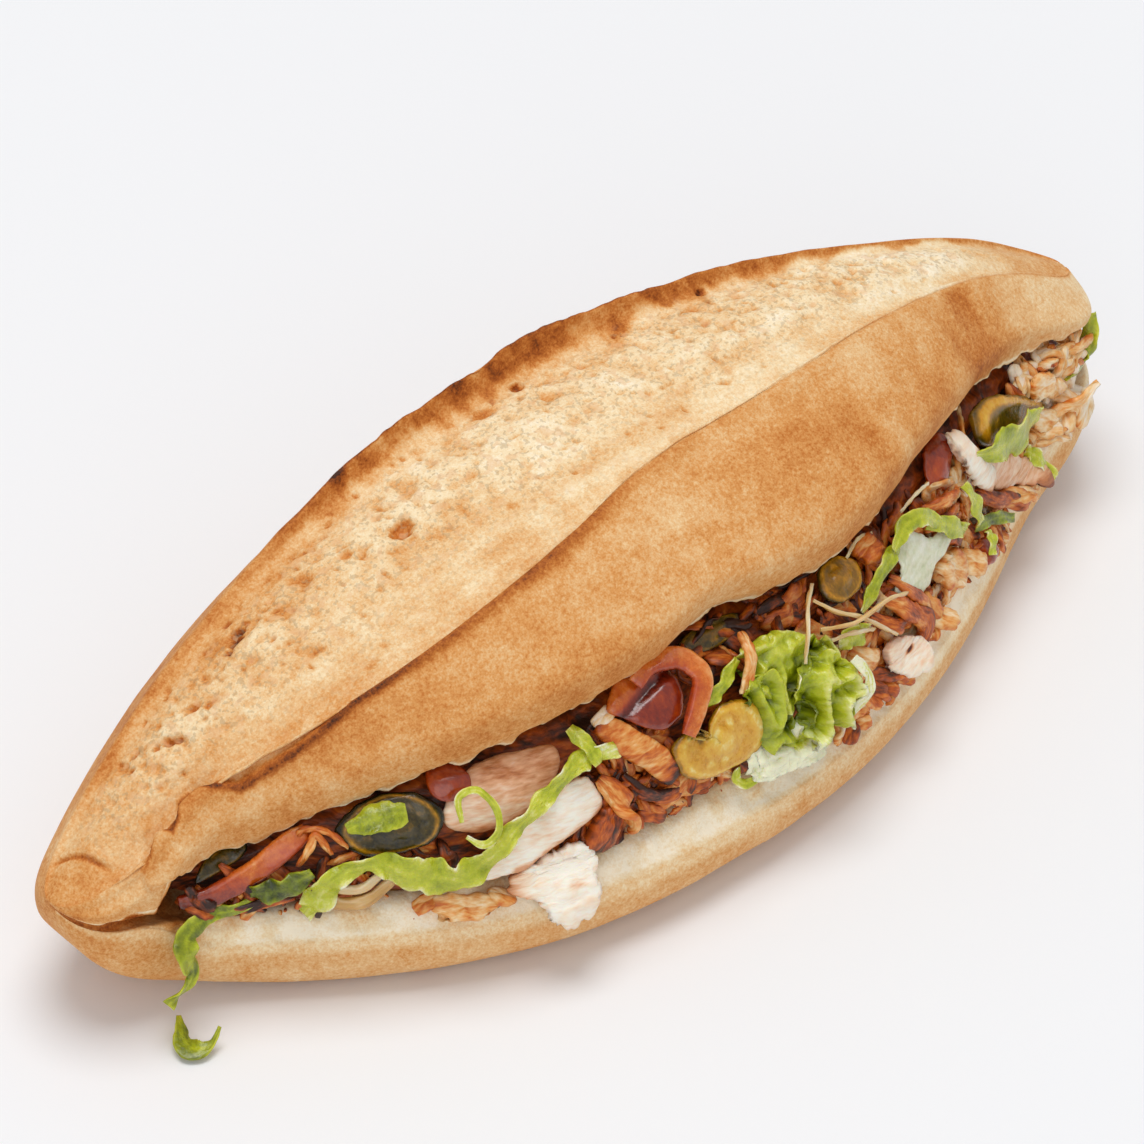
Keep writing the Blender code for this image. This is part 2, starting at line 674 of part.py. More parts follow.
def build_heap():
    """Doner meat: a core that fills the pocket with bits, slices and shreds fused on where it shows."""
    meat = food_material("doner_meat", (0.52, 0.24, 0.10), 0.5)
    rings = []
    for s in stations(HEAP_LEFT, HEAP_RIGHT, HEAP_STATIONS):
        share = (s - HEAP_LEFT) / (HEAP_RIGHT - HEAP_LEFT)
        scale = max(0.3, float(fade(2.0 * share - 1.0, 10, 0.5)))
        rings.append([(s * HALF_LENGTH, y, z) for y, z in heap_ring(s, scale)])
    core = loft("doner_meat", rings, meat)
    graph = bpy.context.evaluated_depsgraph_get()
    toppings = [tree_of(item, graph) for item in sandwich.objects if item is not core]
    random = np.random.default_rng(SEED)
    for index, (x, v, reach) in enumerate(heap_places(random)):
        piece = heap_piece(index, random, x, v, reach, meat)
        graph = bpy.context.evaluated_depsgraph_get()
        tree = tree_of(piece, graph)
        if any(tree.overlap(other) for other in toppings):
            bpy.data.objects.remove(piece, do_unlink=True)
        else:
            freeze(piece)
    union = core.modifiers.new("heap", "BOOLEAN")
    union.operation = "UNION"
    union.operand_type = "COLLECTION"
    union.collection = scraps
    union.solver = "MANIFOLD"
    freeze(core)
    for item in list(scraps.objects):
        bpy.data.objects.remove(item, do_unlink=True)
    bpy.data.collections.remove(scraps)
    keep_largest(core)


clear_scene()
build_bread()
build_lettuce()
build_vegetables()
build_slices()
build_heap()
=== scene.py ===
"""Doner kebab sandwich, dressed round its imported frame: bread, meat, salad and pickles."""
import math

import bpy
import numpy as np
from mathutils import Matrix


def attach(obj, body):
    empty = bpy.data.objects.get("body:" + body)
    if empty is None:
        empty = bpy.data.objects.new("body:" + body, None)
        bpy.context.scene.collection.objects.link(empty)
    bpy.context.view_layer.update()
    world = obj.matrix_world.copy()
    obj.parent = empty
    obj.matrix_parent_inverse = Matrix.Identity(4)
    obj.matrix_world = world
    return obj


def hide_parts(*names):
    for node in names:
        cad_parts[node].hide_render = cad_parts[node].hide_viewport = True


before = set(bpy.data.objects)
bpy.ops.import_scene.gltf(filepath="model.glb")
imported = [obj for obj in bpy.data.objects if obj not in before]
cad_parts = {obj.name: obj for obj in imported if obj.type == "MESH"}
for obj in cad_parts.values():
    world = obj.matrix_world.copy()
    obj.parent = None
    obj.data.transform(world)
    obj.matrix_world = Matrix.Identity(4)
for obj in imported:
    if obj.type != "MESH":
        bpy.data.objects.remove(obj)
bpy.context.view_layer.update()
MM = 0.001


# ======================================================================= studio
# A pale matt table top, a large soft light above and behind, and a long lens that looks down
# on the cut side from its left.

VIEW_TURN = math.radians(-41.06)
VIEW_RISE = math.radians(43.0)
VIEW_AIM = np.array((0.0009, 0.0, 0.0387))
VIEW_DISTANCE = 2.5
LENS_MM = 388.4


def linear(colour):
    """An sRGB hex colour as linear red, green, blue and alpha."""
    parts = [int(colour[k:k + 2], 16) / 255.0 for k in (1, 3, 5)]
    return (*[c / 12.92 if c <= 0.04045 else ((c + 0.055) / 1.055) ** 2.4 for c in parts], 1.0)


def node(tree, kind, sockets=None, stops=(), **settings):
    """Adds a node. Settings are its properties, sockets gives an input a value or another node's
    output, and stops fills a colour ramp."""
    made = tree.nodes.new("ShaderNode" + kind)
    for name, value in settings.items():
        setattr(made, name, value)
    for name, value in (sockets or {}).items():
        if isinstance(value, bpy.types.NodeSocket):
            tree.links.new(value, made.inputs[name])
        else:
            made.inputs[name].default_value = value
    for k, (place, colour) in enumerate(stops):
        ramp = made.color_ramp.elements
        stop = ramp[k] if k < 2 else ramp.new(place)
        stop.position = place
        stop.color = linear(colour)
    return made


def aim(item, direction, distance):
    """Puts a camera or light at a distance from the view's aim and turns it there."""
    back = np.array(direction) / np.linalg.norm(direction)
    item.location = VIEW_AIM + back * distance
    item.rotation_euler = (math.acos(back[2]), 0.0, math.atan2(back[0], -back[1]))
    bpy.context.scene.collection.objects.link(item)


camera = bpy.data.objects.new("camera", bpy.data.cameras.new("camera"))
camera.data.lens = LENS_MM
camera.data.sensor_width = 36.0
aim(camera, (math.sin(VIEW_TURN) * math.cos(VIEW_RISE), -math.cos(VIEW_TURN) * math.cos(VIEW_RISE),
             math.sin(VIEW_RISE)), VIEW_DISTANCE)
bpy.context.scene.camera = camera

for label, direction, distance, size, power in (("key", (0.0, 0.06, 1.0), 3.0, 1.8, 47.0),
                                                ("fill", (-0.8, -0.9, 0.8), 1.8, 1.4, 5.0)):
    lamp = bpy.data.lights.new(label, "AREA")
    lamp.shape = "DISK"
    lamp.size = size
    lamp.energy = power
    aim(bpy.data.objects.new(label, lamp), direction, distance)

surroundings = bpy.data.worlds.new("studio")
surroundings.use_nodes = True
surroundings.node_tree.nodes["Background"].inputs["Color"].default_value = linear("#F6F8FB")
surroundings.node_tree.nodes["Background"].inputs["Strength"].default_value = 0.53
bpy.context.scene.world = surroundings
bpy.context.scene.view_settings.view_transform = "Standard"

bpy.ops.mesh.primitive_plane_add(size=12.0)
table = bpy.context.object
table.name = "table"
laminate = bpy.data.materials.new("white_laminate")
laminate.use_nodes = True
laminate.node_tree.nodes["Principled BSDF"].inputs["Base Color"].default_value = linear("#F2F2F3")
laminate.node_tree.nodes["Principled BSDF"].inputs["Roughness"].default_value = 0.9
table.data.materials.append(laminate)


# ======================================================================= bread
# A plump crusty half baguette, baked from a slashed dough: the slash tore open into a pale
# burst with a dark ragged ear along its back. It is sliced from the front and joined behind.

HALF_LENGTH = 136.0
FRONT_REACH, BACK_REACH, NOSE_REACH, END_REACH = 60.0, 37.0, 15.0, 21.0
SEAM_HEIGHT, NOSE_SEAM, LEDGE_DROP = 22.0, 5.5, 5.5
GAPE, END_LIP, LID_SETBACK, HINGE = 32.0, 37.5, 17.0, 15.0
CREASE_DEPTH, CREASE_GAP = 1.4, 3.5
CROWN_HEIGHT, CROWN_FOOT, CROWN_END = 82.0, 36.0, 45.0
EAR_HEIGHT, CREASE_STEP = 5.0, 1.6
TIP_LEFT, TIP_RIGHT_LOW, TIP_RIGHT_HIGH = 33.0, 26.0, 43.0
STATIONS, LAST_STATION = 470, 0.9992


def fade(s, fullness, taper):
    """1 at the middle of the loaf and 0 at its noses (s = -1 and 1): (1 - |s|^fullness)^taper."""
    return np.clip(1.0 - np.abs(s) ** fullness, 0.0, 1.0) ** taper


def sided(s, left, right):
    """One value or curve for the left half, another for the right half."""
    return np.where(s < 0.0, left, right)


def ease(start, stop, value):
    """Smooth step from 0 at start to 1 at stop, whichever is larger: 3t^2 - 2t^3."""
    t = np.clip((value - start) / (stop - start), 0.0, 1.0)
    return t * t * (3.0 - 2.0 * t)


def band(rise, full, last, end, value):
    """Smooth rise from 0 at rise to 1 at full, and fall from 1 at last to 0 at end."""
    return ease(rise, full, value) * ease(end, last, value)


def hump(centre, width, value):
    """Bell curve of height 1: e to the minus squared distance in widths."""
    return np.exp(-((value - centre) / width) ** 2)


def blunt(s):
    """Rounds both noses off over the last few millimetres."""
    return fade(s, 16, 0.5)


def front(s):
    """Y of the base's front crust: soft maximum of the body's curve and the noses'."""
    body = FRONT_REACH * sided(s, fade(s, 2.7, 1.6), fade(s, 2.1, 1.2))
    return -(body ** 4 + (sided(s, NOSE_REACH, END_REACH) * blunt(s)) ** 4) ** 0.25


def back(s):
    """Y of the back crust: soft maximum of the body's curve and the noses'."""
    body = BACK_REACH * sided(s, fade(s, 2.5, 0.7), fade(s, 1.6, 1.15))
    return (body ** 4 + (NOSE_REACH * blunt(s)) ** 4) ** 0.25


def closing(z, s, left, right):
    """A height that closes in on the nose's own height, left or right."""
    nose = sided(s, left, right)
    return nose + (z - nose) * blunt(s)


def sole(s):
    """Height of the underside, flat along the middle and lifting at the noses."""
    lift = sided(s, 14.0, 6.0) * np.clip((np.abs(s) - 0.55) / 0.45, 0.0, 1.0) ** 2
    return closing(lift, s, TIP_LEFT, TIP_RIGHT_LOW)


def ledge(s):
    """Height of the slit's floor before the noses close in, higher on the left nose."""
    return SEAM_HEIGHT + NOSE_SEAM * ease(-0.78, -0.93, s)


def seam(s):
    """Height of the ledge where the filling starts."""
    return closing(ledge(s), s, TIP_LEFT, TIP_RIGHT_LOW)


def rim(s):
    """Height of the base's crust edge, below the ledge except at both noses."""
    return seam(s) - LEDGE_DROP * band(-0.90, -0.80, 0.70, 0.92, s)


def gape(s):
    """Opening between base and lid, a shallow crease where the left nose isn't cut."""
    cut = np.maximum(GAPE * fade(s, 2.6, 1.3) + SEAM_HEIGHT, END_LIP) - ledge(s)
    left = CREASE_GAP + (cut - CREASE_GAP) * ease(-0.885, -0.85, s)
    return sided(s, left, GAPE * (1.0 - 0.6 * np.clip(s, 0.0, 1.0) ** 3))


def edge_wave(s):
    """The lid's edge dips and rises along its length, with a step at three quarters."""
    x = s * HALF_LENGTH
    step = 1.6 * ease(52.0, 62.0, x) * blunt(s)
    return 3.2 * hump(0.0, 12.0, x) - 2.2 * hump(38.0, 18.0, x) + 1.5 * hump(-82.0, 26.0, x) + step


def lip_z(s):
    """Height of the lid's cut edge."""
    return closing(ledge(s) + gape(s) + edge_wave(s), s, TIP_LEFT, TIP_RIGHT_HIGH)


def lip_y(s):
    """Y of the lid's cut edge, set back from the base's."""
    setback = LID_SETBACK * (1.0 - s * s) * ease(-0.90, -0.76, s) + 0.5 * edge_wave(s)
    return front(s) + setback * blunt(s)


def crown(s):
    """Height of the lid's top: the foot plus the rise's share of what is left."""
    foot = sided(s, CROWN_FOOT, CROWN_END)
    rise = sided(s, fade(s, 2.1, 1.0), fade(s, 2.7, 1.05))
    return closing(foot + (CROWN_HEIGHT - foot) * rise, s, TIP_LEFT, TIP_RIGHT_HIGH)


def ear(s):
    """Height of the torn ridge behind the burst: two slow waves on one long swell."""
    x = s * HALF_LENGTH
    ragged = 1.0 + 0.12 * np.sin(x * 0.13 + 0.6) + 0.06 * np.sin(x * 0.41 + 1.3)
    return EAR_HEIGHT * ragged * band(-0.62, -0.12, -0.05, 0.75, s) * blunt(s)


def outer_section(s):
    """Control points (y, z) round the outside: base's edge, sole, back, ear, burst, crust, lid's edge."""
    yf, yl, yb = front(s), lip_y(s), back(s)
    zs, zr, zl, zc = sole(s), rim(s), lip_z(s), crown(s)
    low, high, lid, nose, e = zr - zs, zc - zs, zc - zl, blunt(s), ear(s)
    q = 0.47 + 0.33 * np.clip((0.1 - s) / 0.75, 0.0, 1.0)
    crease = zl + lid * (1.0 - 0.28 * q ** 2)
    return np.array([
        (yf, zr), (1.015 * yf, zs + 0.72 * low), (0.985 * yf, zs + 0.40 * low),
        (0.86 * yf, zs + 0.10 * low), (0.62 * yf, zs), (0.0 * yf, zs), (0.50 * yb, zs),
        (0.84 * yb, zs + 0.05 * high), (1.00 * yb, zs + 0.25 * high), (1.00 * yb, zs + 0.52 * high),
        (0.86 * yb, zs + 0.76 * high), (0.64 * yb, zs + 0.92 * high), (0.52 * yb, zc + e),
        (0.40 * yb, zc - 0.8 * nose + 0.15 * e), (0.00 * yb, zc + 0.8 * nose),
        (q * yl + 2.4 * nose, crease + 0.2 * nose), (q * yl, crease + CREASE_STEP * nose),
        ((q + (1.0 - q) * 0.6) * yl * 1.02, zl + 0.78 * lid * (1.0 - 0.2 * q ** 3)),
        (1.07 * yl, zl + 0.45 * lid), (1.06 * yl, zl + 0.18 * lid), (yl, zl)])


def pocket_section(s):
    """Control points (y, z) of the slit, from the lid's edge round the hinge to the base's edge."""
    yf, yl, yb = front(s), lip_y(s), back(s)
    zr, zl = seam(s), lip_z(s)
    cut, nose, g = ease(-0.98, -0.72, s), blunt(s), zl - zr
    start = yf + CREASE_DEPTH * nose
    hinge = start + (yb - np.minimum(HINGE, 0.5 * yb) - start) * cut
    under = yl + 0.45 * (hinge - yl)
    floor = yf + 0.5 * (hinge - yf)
    return np.array([
        (yl, zl), (yl + 0.25 * (under - yl), zl - 0.02 * g), (under, zl + 0.06 * g * cut),
        (hinge - 3.0 * cut * nose, zl - 0.20 * g), (hinge, 0.5 * (zr + zl)),
        (hinge - 3.0 * cut * nose, zr + 0.16 * g), (floor, zr - 2.5 * nose * cut),
        (yf + 0.22 * (floor - yf), zr + 0.8 * nose * cut + 0.02 * g), (yf, rim(s))])


def through(points, where):
    """Catmull-Rom curve through control points (first axis), at places counted in points."""
    k = np.clip(np.floor(where).astype(int), 0, len(points) - 2)
    u = (where - k).reshape(-1, *[1] * (points.ndim - 1))
    p = np.concatenate([2 * points[:1] - points[1:2], points, 2 * points[-1:] - points[-2:-1]])
    a, b, c, d = p[k], p[k + 1], p[k + 2], p[k + 3]
    return 0.5 * (2 * b + (c - a) * u + (2 * a - 5 * b + 4 * c - d) * u ** 2
                  + (3 * b - a - 3 * c + d) * u ** 3)


def lumps(points, size, seed):
    """Soft random values from -1 to 1, in lumps about size mm across: random values on a lattice,
    blended between its eight nearest corners."""
    table = np.random.default_rng(seed).uniform(-1.0, 1.0, 8192)
    cell = np.floor(points / size)
    part = points / size - cell
    part = part * part * (3.0 - 2.0 * part)
    cell = cell.astype(np.int64)
    total = 0.0
    for corner in np.ndindex(2, 2, 2):
        key = (cell + np.array(corner)) * np.array((73856093, 19349663, 83492791))
        share = np.prod(np.where(corner, part, 1.0 - part), axis=-1)
        total = total + share * table[(key[..., 0] ^ key[..., 1] ^ key[..., 2]) % len(table)]
    return total


def rough(points, size, seed, octaves=3):
    """Lumps on lumps: each octave is half as large and half as high."""
    return sum(lumps(points, size / 2 ** k, seed + k) / 2 ** k for k in range(octaves)) / 1.5


def unit(vector):
    """Vectors of length 1."""
    return vector / np.maximum(np.linalg.norm(vector, axis=-1, keepdims=True), 1e-9)


def outward(grid):
    """Unit normals of grids of points (..., rows, columns, 3): the cross product of both slopes."""
    return unit(np.cross(np.gradient(grid, axis=-3), np.gradient(grid, axis=-2)))


def tube_normals(grid):
    """Unit normals of a tube's points (rows, columns, 3), whose last column meets its first."""
    return outward(np.concatenate([grid[:, -1:], grid, grid[:, :1]], axis=1))[:, 1:-1]


def tube_faces(rows, columns, turned=False):
    """Quads of a tube's grid, with a face to close each end, wound the other way if turned."""
    index = np.arange(rows * columns).reshape(rows, columns)
    after = np.roll(index, -1, axis=1)
    quads = np.stack([index[:-1], after[:-1], after[1:], index[1:]], axis=-1).reshape(-1, 4)
    ends = [index[0][::-1], index[-1]]
    if turned:
        quads, ends = quads[:, [0, 3, 2, 1]], [end[::-1] for end in ends]
    return [*quads.tolist(), *[end.tolist() for end in ends]]


def make_piece(name, corners, faces, material, slot, node_name, uv=None, **marks):
    """Mesh object from corners in mm, on the root body. Each mark, such as shade, is an attribute
    with a number for every corner."""
    mesh = bpy.data.meshes.new(name)
    mesh.from_pydata((corners * MM).tolist(), [], faces)
    mesh.validate()
    for label, values in marks.items():
        mesh.attributes.new(label, "FLOAT", "POINT").data.foreach_set(
            "value", values.astype(np.float32).ravel())
    if uv is not None:
        corner_of_loop = np.empty(len(mesh.loops), dtype=np.int32)
        mesh.loops.foreach_get("vertex_index", corner_of_loop)
        mesh.uv_layers.new(name="along_across").data.foreach_set(
            "uv", (uv.reshape(-1, 2)[corner_of_loop] * MM).ravel())
    mesh.shade_smooth()
    mesh.materials.append(material)
    made = bpy.data.objects.new(name, mesh)
    bpy.context.scene.collection.objects.link(made)
    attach(made, "root")
    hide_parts(node_name)


# Places round the section: close together on the ear and the burst, which show every tear.
RUNS = ((0, 0.5, 5), (0.5, 4, 20), (4, 7, 9), (7, 11, 24), (11, 12, 10), (12, 13, 14), (13, 15, 50),
        (15, 16, 8), (16, 19.5, 36), (19.5, 20, 6))
POCKET_RUNS = ((0, 1, 4), (1, 6, 12), (6, 7, 5), (7, 8, 7))
outer_at = np.concatenate([np.linspace(a, b, n, endpoint=False) for a, b, n in RUNS])
pocket_at = np.concatenate([np.linspace(a, b, n, endpoint=False) for a, b, n in POCKET_RUNS])
turn = np.linspace(-1.0, 1.0, STATIONS)
s_row = LAST_STATION * (0.7 * np.sin(0.5 * math.pi * turn) + 0.3 * turn)
yz = np.concatenate([through(outer_section(s_row), outer_at), through(pocket_section(s_row), pocket_at)])
yz[:, 1] = np.maximum(yz[:, 1], sole(s_row))
loaf = np.stack([np.broadcast_to(s_row * HALF_LENGTH, yz[:, 0].shape), yz[:, 0], yz[:, 1]], axis=-1)
loaf = loaf.transpose(1, 0, 2)
u = np.broadcast_to(np.concatenate([outer_at, 20.0 + pocket_at]), loaf.shape[:2])
s = np.broadcast_to(s_row[:, None], loaf.shape[:2])
x = loaf[..., 0]
normal = -tube_normals(loaf)
calm = blunt(s) ** 2

# Where the surface is torn. The front crust's upper edge sags, and ends in a two-lobed flap at
# the left: BORDER gives the shift of that edge at each x.
BORDER = ((-122.0, 0.5), (-119.5, 0.0), (-116.6, -0.88), (-114.4, 0.25), (-112.5, 0.0), (-109.6, -1.0),
          (-107.1, -1.0), (-104.0, 0.0), (-99.6, 0.75), (-89.7, 0.5), (-76.0, 0.0))
edge = u - np.interp(x, *zip(*BORDER))
wander = u + 0.22 * rough(loaf, 9.0, 3) * band(12.2, 13.0, 15.2, 15.8, u)
swell = ear(s) / EAR_HEIGHT
opened = band(-0.98, -0.86, 0.72, 0.95, s)
strung = loaf * (1.0, 0.35, 0.35)
torn_to = 12.65 + 0.4 * hump(14.0, 30.0, x) + 0.5 * rough(loaf, 7.0, 5) + 0.3 * lumps(strung, 2.4, 6)
ear_face = ease(11.9, 12.1, u) * ease(torn_to + 0.3, torn_to - 0.3, u) * np.clip(1.5 * swell, 0.0, 1.0)
rear = band(12.9, 13.4, 14.2, 14.8, wander) * opened
fore = ease(14.2, 14.8, wander) * ease(16.0, 15.8, edge) * opened
crumb = ease(19.85, 20.05, u)
front_crust = ease(15.95, 16.3, edge) * ease(19.9, 19.4, u)

# The ear's front is pulled into strings, the burst's rear is pitted and its fore rippled lengthwise.
strings = 0.6 * lumps(strung, 1.7, 43) + rough(loaf, 4.2, 44)
grit = rough(loaf, 3.2, 11)
hollow = np.clip(lumps(loaf, 1.9, 17) - 0.12, 0.0, 1.0)
ripples = rough(loaf * (0.4, 1.0, 1.0), 1.8, 23)
streaks = rough(loaf * (0.10, 1.0, 1.0), 4.0, 91)
relief = ear_face * 0.38 * strings + rear * (0.42 * grit - 1.1 * hollow) + fore * 0.20 * ripples
relief += (rear + fore) * 0.35 * streaks
relief += crumb * calm * (0.50 * rough(loaf, 3.4, 29) - 0.9 * np.clip(lumps(loaf, 1.7, 31) - 0.1, 0.0, 1.0))
relief += (1.0 - rear) * (1.0 - crumb) * (0.40 * lumps(loaf, 22.0, 37) + 0.10 * lumps(loaf, 6.0, 41))
along_x = loaf * (1.0, 0.0, 0.0)
crest = 0.1 + 0.35 * lumps(along_x, 9.0, 45) + 0.25 * lumps(along_x, 1.9, 47)
relief += hump(12.0, 0.25, u) * swell * crest
# The crust's upper edge curls up along the left half, over a groove.
curl = hump(16.08, 0.17, edge) * ease(0.7, 0.1, s) * opened
relief += curl * (0.7 + 0.4 * lumps(loaf, 8.0, 53) + 0.2 * lumps(loaf, 2.4, 59))
relief -= 1.5 * ease(15.5, 16.0, u) * ease(16.05, 15.9, edge) * ease(-124.0, -119.0, x)
# Broad soft folds run across the front crust's right half.
folds = lumps(loaf * (1.0, 0.22, 0.22) + loaf[..., 1:2] * (0.35, 0.0, 0.0), 7.5, 57) * ease(35.0, 65.0, x)
relief += front_crust * 0.55 * folds

# The flap lies on the nose with a thick soft edge, and the nose bulges out from under it.
flap_end = np.interp(u, (16.4, 17.4, 18.0, 19.0, 20.0), (-122.2, -122.4, -118.5, -116.0, -114.5))
on_flap = ease(-0.5, 0.9, x - flap_end - 0.5 * lumps(loaf, 3.0, 54))
on_flap = on_flap * ease(15.9, 16.15, edge) * (1.0 - crumb)
flap_rise = 1.9 * on_flap * ease(15.9, 16.5, edge) - 1.1 * ease(-131.0, -124.0, x)
relief += ease(-92.0, -108.0, x) * flap_rise * ease(14.4, 15.2, u) * (1.0 - crumb)
# A crescent crease folds the dough over the nose, with a small pinch behind it.
bow = x - 2.7 * (u - 13.0)
crescent = hump(0.0, 0.5, bow + 130.4) * band(12.7, 13.1, 14.4, 14.9, u)
relief += 0.5 * hump(0.0, 0.6, bow + 129.2) * band(12.7, 13.1, 14.4, 14.9, u) - 0.8 * crescent

# Tears and bubbles laid open, as (x, place in the section, length, width, depth, turn).
TEARS = (
    (-44.2, 14, 3.3, 2, 2.6, 8), (-36.5, 13.5, 3.4, 1.8, 0.7, 70), (-2, 13.12, 1.5, 1.2, 2, 0),
    (-3.6, 13.35, 0.9, 0.7, 1.2, 0), (-11.7, 13.24, 3.2, 1.6, 0.9, 10), (1.5, 13.6, 2.8, 1.5, 0.6, 40),
    (-64.3, 13.64, 2, 1.8, 0.6, 0), (-55.5, 13.8, 1.6, 1.1, 1.2, 30), (-54, 13.95, 1.1, 0.8, 0.9, 0),
    (-82.1, 13.56, 2.6, 1.1, 1.8, 0), (-79.8, 13.45, 1.7, 1, 1.5, 40), (-84.6, 13.6, 1.4, 0.8, 1.2, 20),
    (-104, 13.9, 1.7, 1.1, 1.7, 50), (-106, 13.75, 1.4, 0.9, 1.4, 10), (-102.6, 14.05, 1.1, 0.8, 1.2, 0),
    (-97, 13.8, 2.4, 1.1, 1, 20), (-94.5, 14, 1.5, 0.9, 0.8, 0), (-73.4, 14.4, 2.6, 0.9, 0.7, 0),
    (-67.8, 14.8, 2.2, 0.9, 0.6, 0), (46.5, 12.95, 1.4, 0.9, 1.2, 0), (51, 13.7, 1, 0.7, 0.9, 0),
    (78.8, 13.7, 0.9, 0.6, 0.8, 0), (24, 13.5, 1.2, 0.7, 0.9, 0), (33, 13.6, 1.4, 0.6, 0.9, 0))
PORES = 230
draw = np.random.default_rng(61)
pores = np.stack([
    draw.uniform(-112.0, 92.0, PORES), 13.0 + 1.8 * draw.beta(1.2, 1.8, PORES),
    draw.uniform(0.5, 1.3, PORES), draw.uniform(0.4, 0.75, PORES), draw.uniform(0.3, 0.9, PORES),
    draw.uniform(-40.0, 60.0, PORES)], axis=1)
burst = np.flatnonzero((u[0] > 12.3) & (u[0] < 16.0))
zone, zone_u, pits = loaf[:, burst], u[0, burst], np.zeros(u.shape)
uneven = 1.0 + 0.35 * lumps(zone, 1.6, 62)
for hole_x, hole_u, length, width, depth, turned in [*TEARS, *pores]:
    here = zone[np.abs(s_row * HALF_LENGTH - hole_x).argmin(), np.abs(zone_u - hole_u).argmin()]
    along = zone[..., 0] - here[0]
    across = np.linalg.norm((zone - here)[..., 1:], axis=-1) * np.where(zone_u > hole_u, 1.0, -1.0)
    cos, sin = math.cos(math.radians(turned)), math.sin(math.radians(turned))
    reach = ((along * cos + across * sin) / length) ** 2 + ((across * cos - along * sin) / width) ** 2
    pits[:, burst] = np.maximum(pits[:, burst], depth * np.sqrt(np.clip(1.0 - reach * uneven, 0.0, 1.0)))
loaf = loaf + normal * ((relief - pits * opened) * calm)[..., None]
# The knife left the lid's edge ragged.
lip = band(19.3, 19.95, 20.1, 20.8, u) * calm
loaf[..., 2] += lip * (0.8 * lumps(along_x, 4.2, 63) + 0.6 * lumps(along_x, 1.6, 64) - 0.2)
loaf[..., 1] += lip * (0.5 + 0.8 * lumps(along_x, 2.6, 65))

# How dark each place is, from 0, flour white, to 1, near black: mostly how dark it baked, with painted light
# and shade where noted. First the smooth crust.
bake = 0.455 + 0.06 * rough(loaf, 9.0, 67) + 0.03 * rough(loaf, 2.6, 71)
# The front crust is lighter towards its right end, partly paler crust there and partly painted light on
# faces turned from the lamp; its patches add random mottling and a painted highlight on the raised folds.
along_crust = 0.01 * ease(20.0, 50.0, x) - 0.04 * ease(-10.0, -100.0, x) - 0.24 * ease(84.0, 120.0, x)
patches = 0.13 * lumps(loaf * (0.4, 1.0, 1.0), 16.0, 72) - 0.12 * folds
bake += front_crust * (0.02 + patches + along_crust)
body = ease(-131.0, -112.0, x)
bake += body * 0.11 * ease(8.5, 11.0, u) * ease(13.0, 12.4, wander) + 0.06 * ear_face * (1.0 - swell)
# The ear's torn front, its run down to the right, and its scorched crest.
bake += (0.69 + 0.20 * strings - bake) * ear_face
far_ear = ease(11.9, 12.1, u) * ease(torn_to + 0.1, torn_to - 0.5, u) * hump(0.38, 0.30, s) * opened
bake += (0.64 + 0.12 * strings - bake) * far_ear * (1.0 - ear_face)
spots = hump(12.15, 0.30, u) * np.clip(2.0 * rough(loaf, 5.0, 76) - 0.3, 0.0, 1.0)
bake += (0.18 * hump(11.98, 0.12, u) + 0.20 * spots) * band(-0.55, -0.3, 0.5, 0.75, s)
# The burst: pale dough, painted darker in its tears, pits, hollows and low grit, the deeper the darker, and
# lighter on its raised streaks: painted shade and painted highlight.
cream = 0.26 + 0.05 * ease(-20.0, -80.0, x) - 0.09 * ease(40.0, 90.0, x) + 0.09 * rough(loaf, 7.0, 68)
cream += fore * (0.05 + 0.06 * ripples) + 0.22 * ease(14.3, 13.2, u) * hump(-76.0, 26.0, x)
cream += rear * (0.12 * np.clip(-grit, 0.0, 1.0) + 0.25 * hollow - 0.06) - 0.14 * streaks
bake += (cream - bake) * ease(torn_to - 0.1, torn_to + 0.5, wander) * ease(16.0, 15.8, edge) * opened
bake += 0.42 * np.clip(pits / 1.3, 0.0, 1.0) * opened
border_tone = 0.30 + 0.12 * ease(-40.0, -75.0, x) + 0.12 * lumps(loaf, 14.0, 73)
bake += border_tone * hump(16.1, 0.2, edge) * ease(0.35, -0.25, s) * opened * body
# The nose with its crescent, the flap on it, the cut edge and the base.
nose_tone = 0.38 + 0.08 * lumps(loaf, 6.0, 74) + 0.08 * ease(13.6, 12.4, u) * ease(-130.0, -122.0, x)
nose_share = ease(-110.0, -124.0, x) * (1.0 - on_flap)
bake += (nose_tone - bake) * nose_share * ease(10.0, 12.0, u) * (1.0 - crumb)
bake += (0.52 - bake) * ease(-127.0, -134.5, x) * (1.0 - crumb)
for at_x, at_u, flatness, size, amount in (
        (-108.5, 15.6, 4.0, 5.0, 0.16 * on_flap), (-114.5, 13.3, 6.0, 6.0, 0.12),
        (-118.5, 16.4, 4.0, 3.0, 0.14 * on_flap), (-128.6, 14.9, 5.0, 3.6, 0.14)):
    bake += amount * hump(0.0, size, np.hypot(x - at_x, flatness * (u - at_u)))
bake += 0.28 * crescent - 0.34 * hump(19.88, 0.16, u) + 0.05 * band(17.5, 18.6, 18.8, 19.6, u)
bake -= (0.14 + 0.14 * ease(20.0, 60.0, x)) * ease(0.9, 0.3, u)
bake -= ease(7.0, 5.0, u) * (0.04 - 0.08 * hump(-122.0, 12.0, x))
bake = np.clip(bake, 0.02, 1.0)
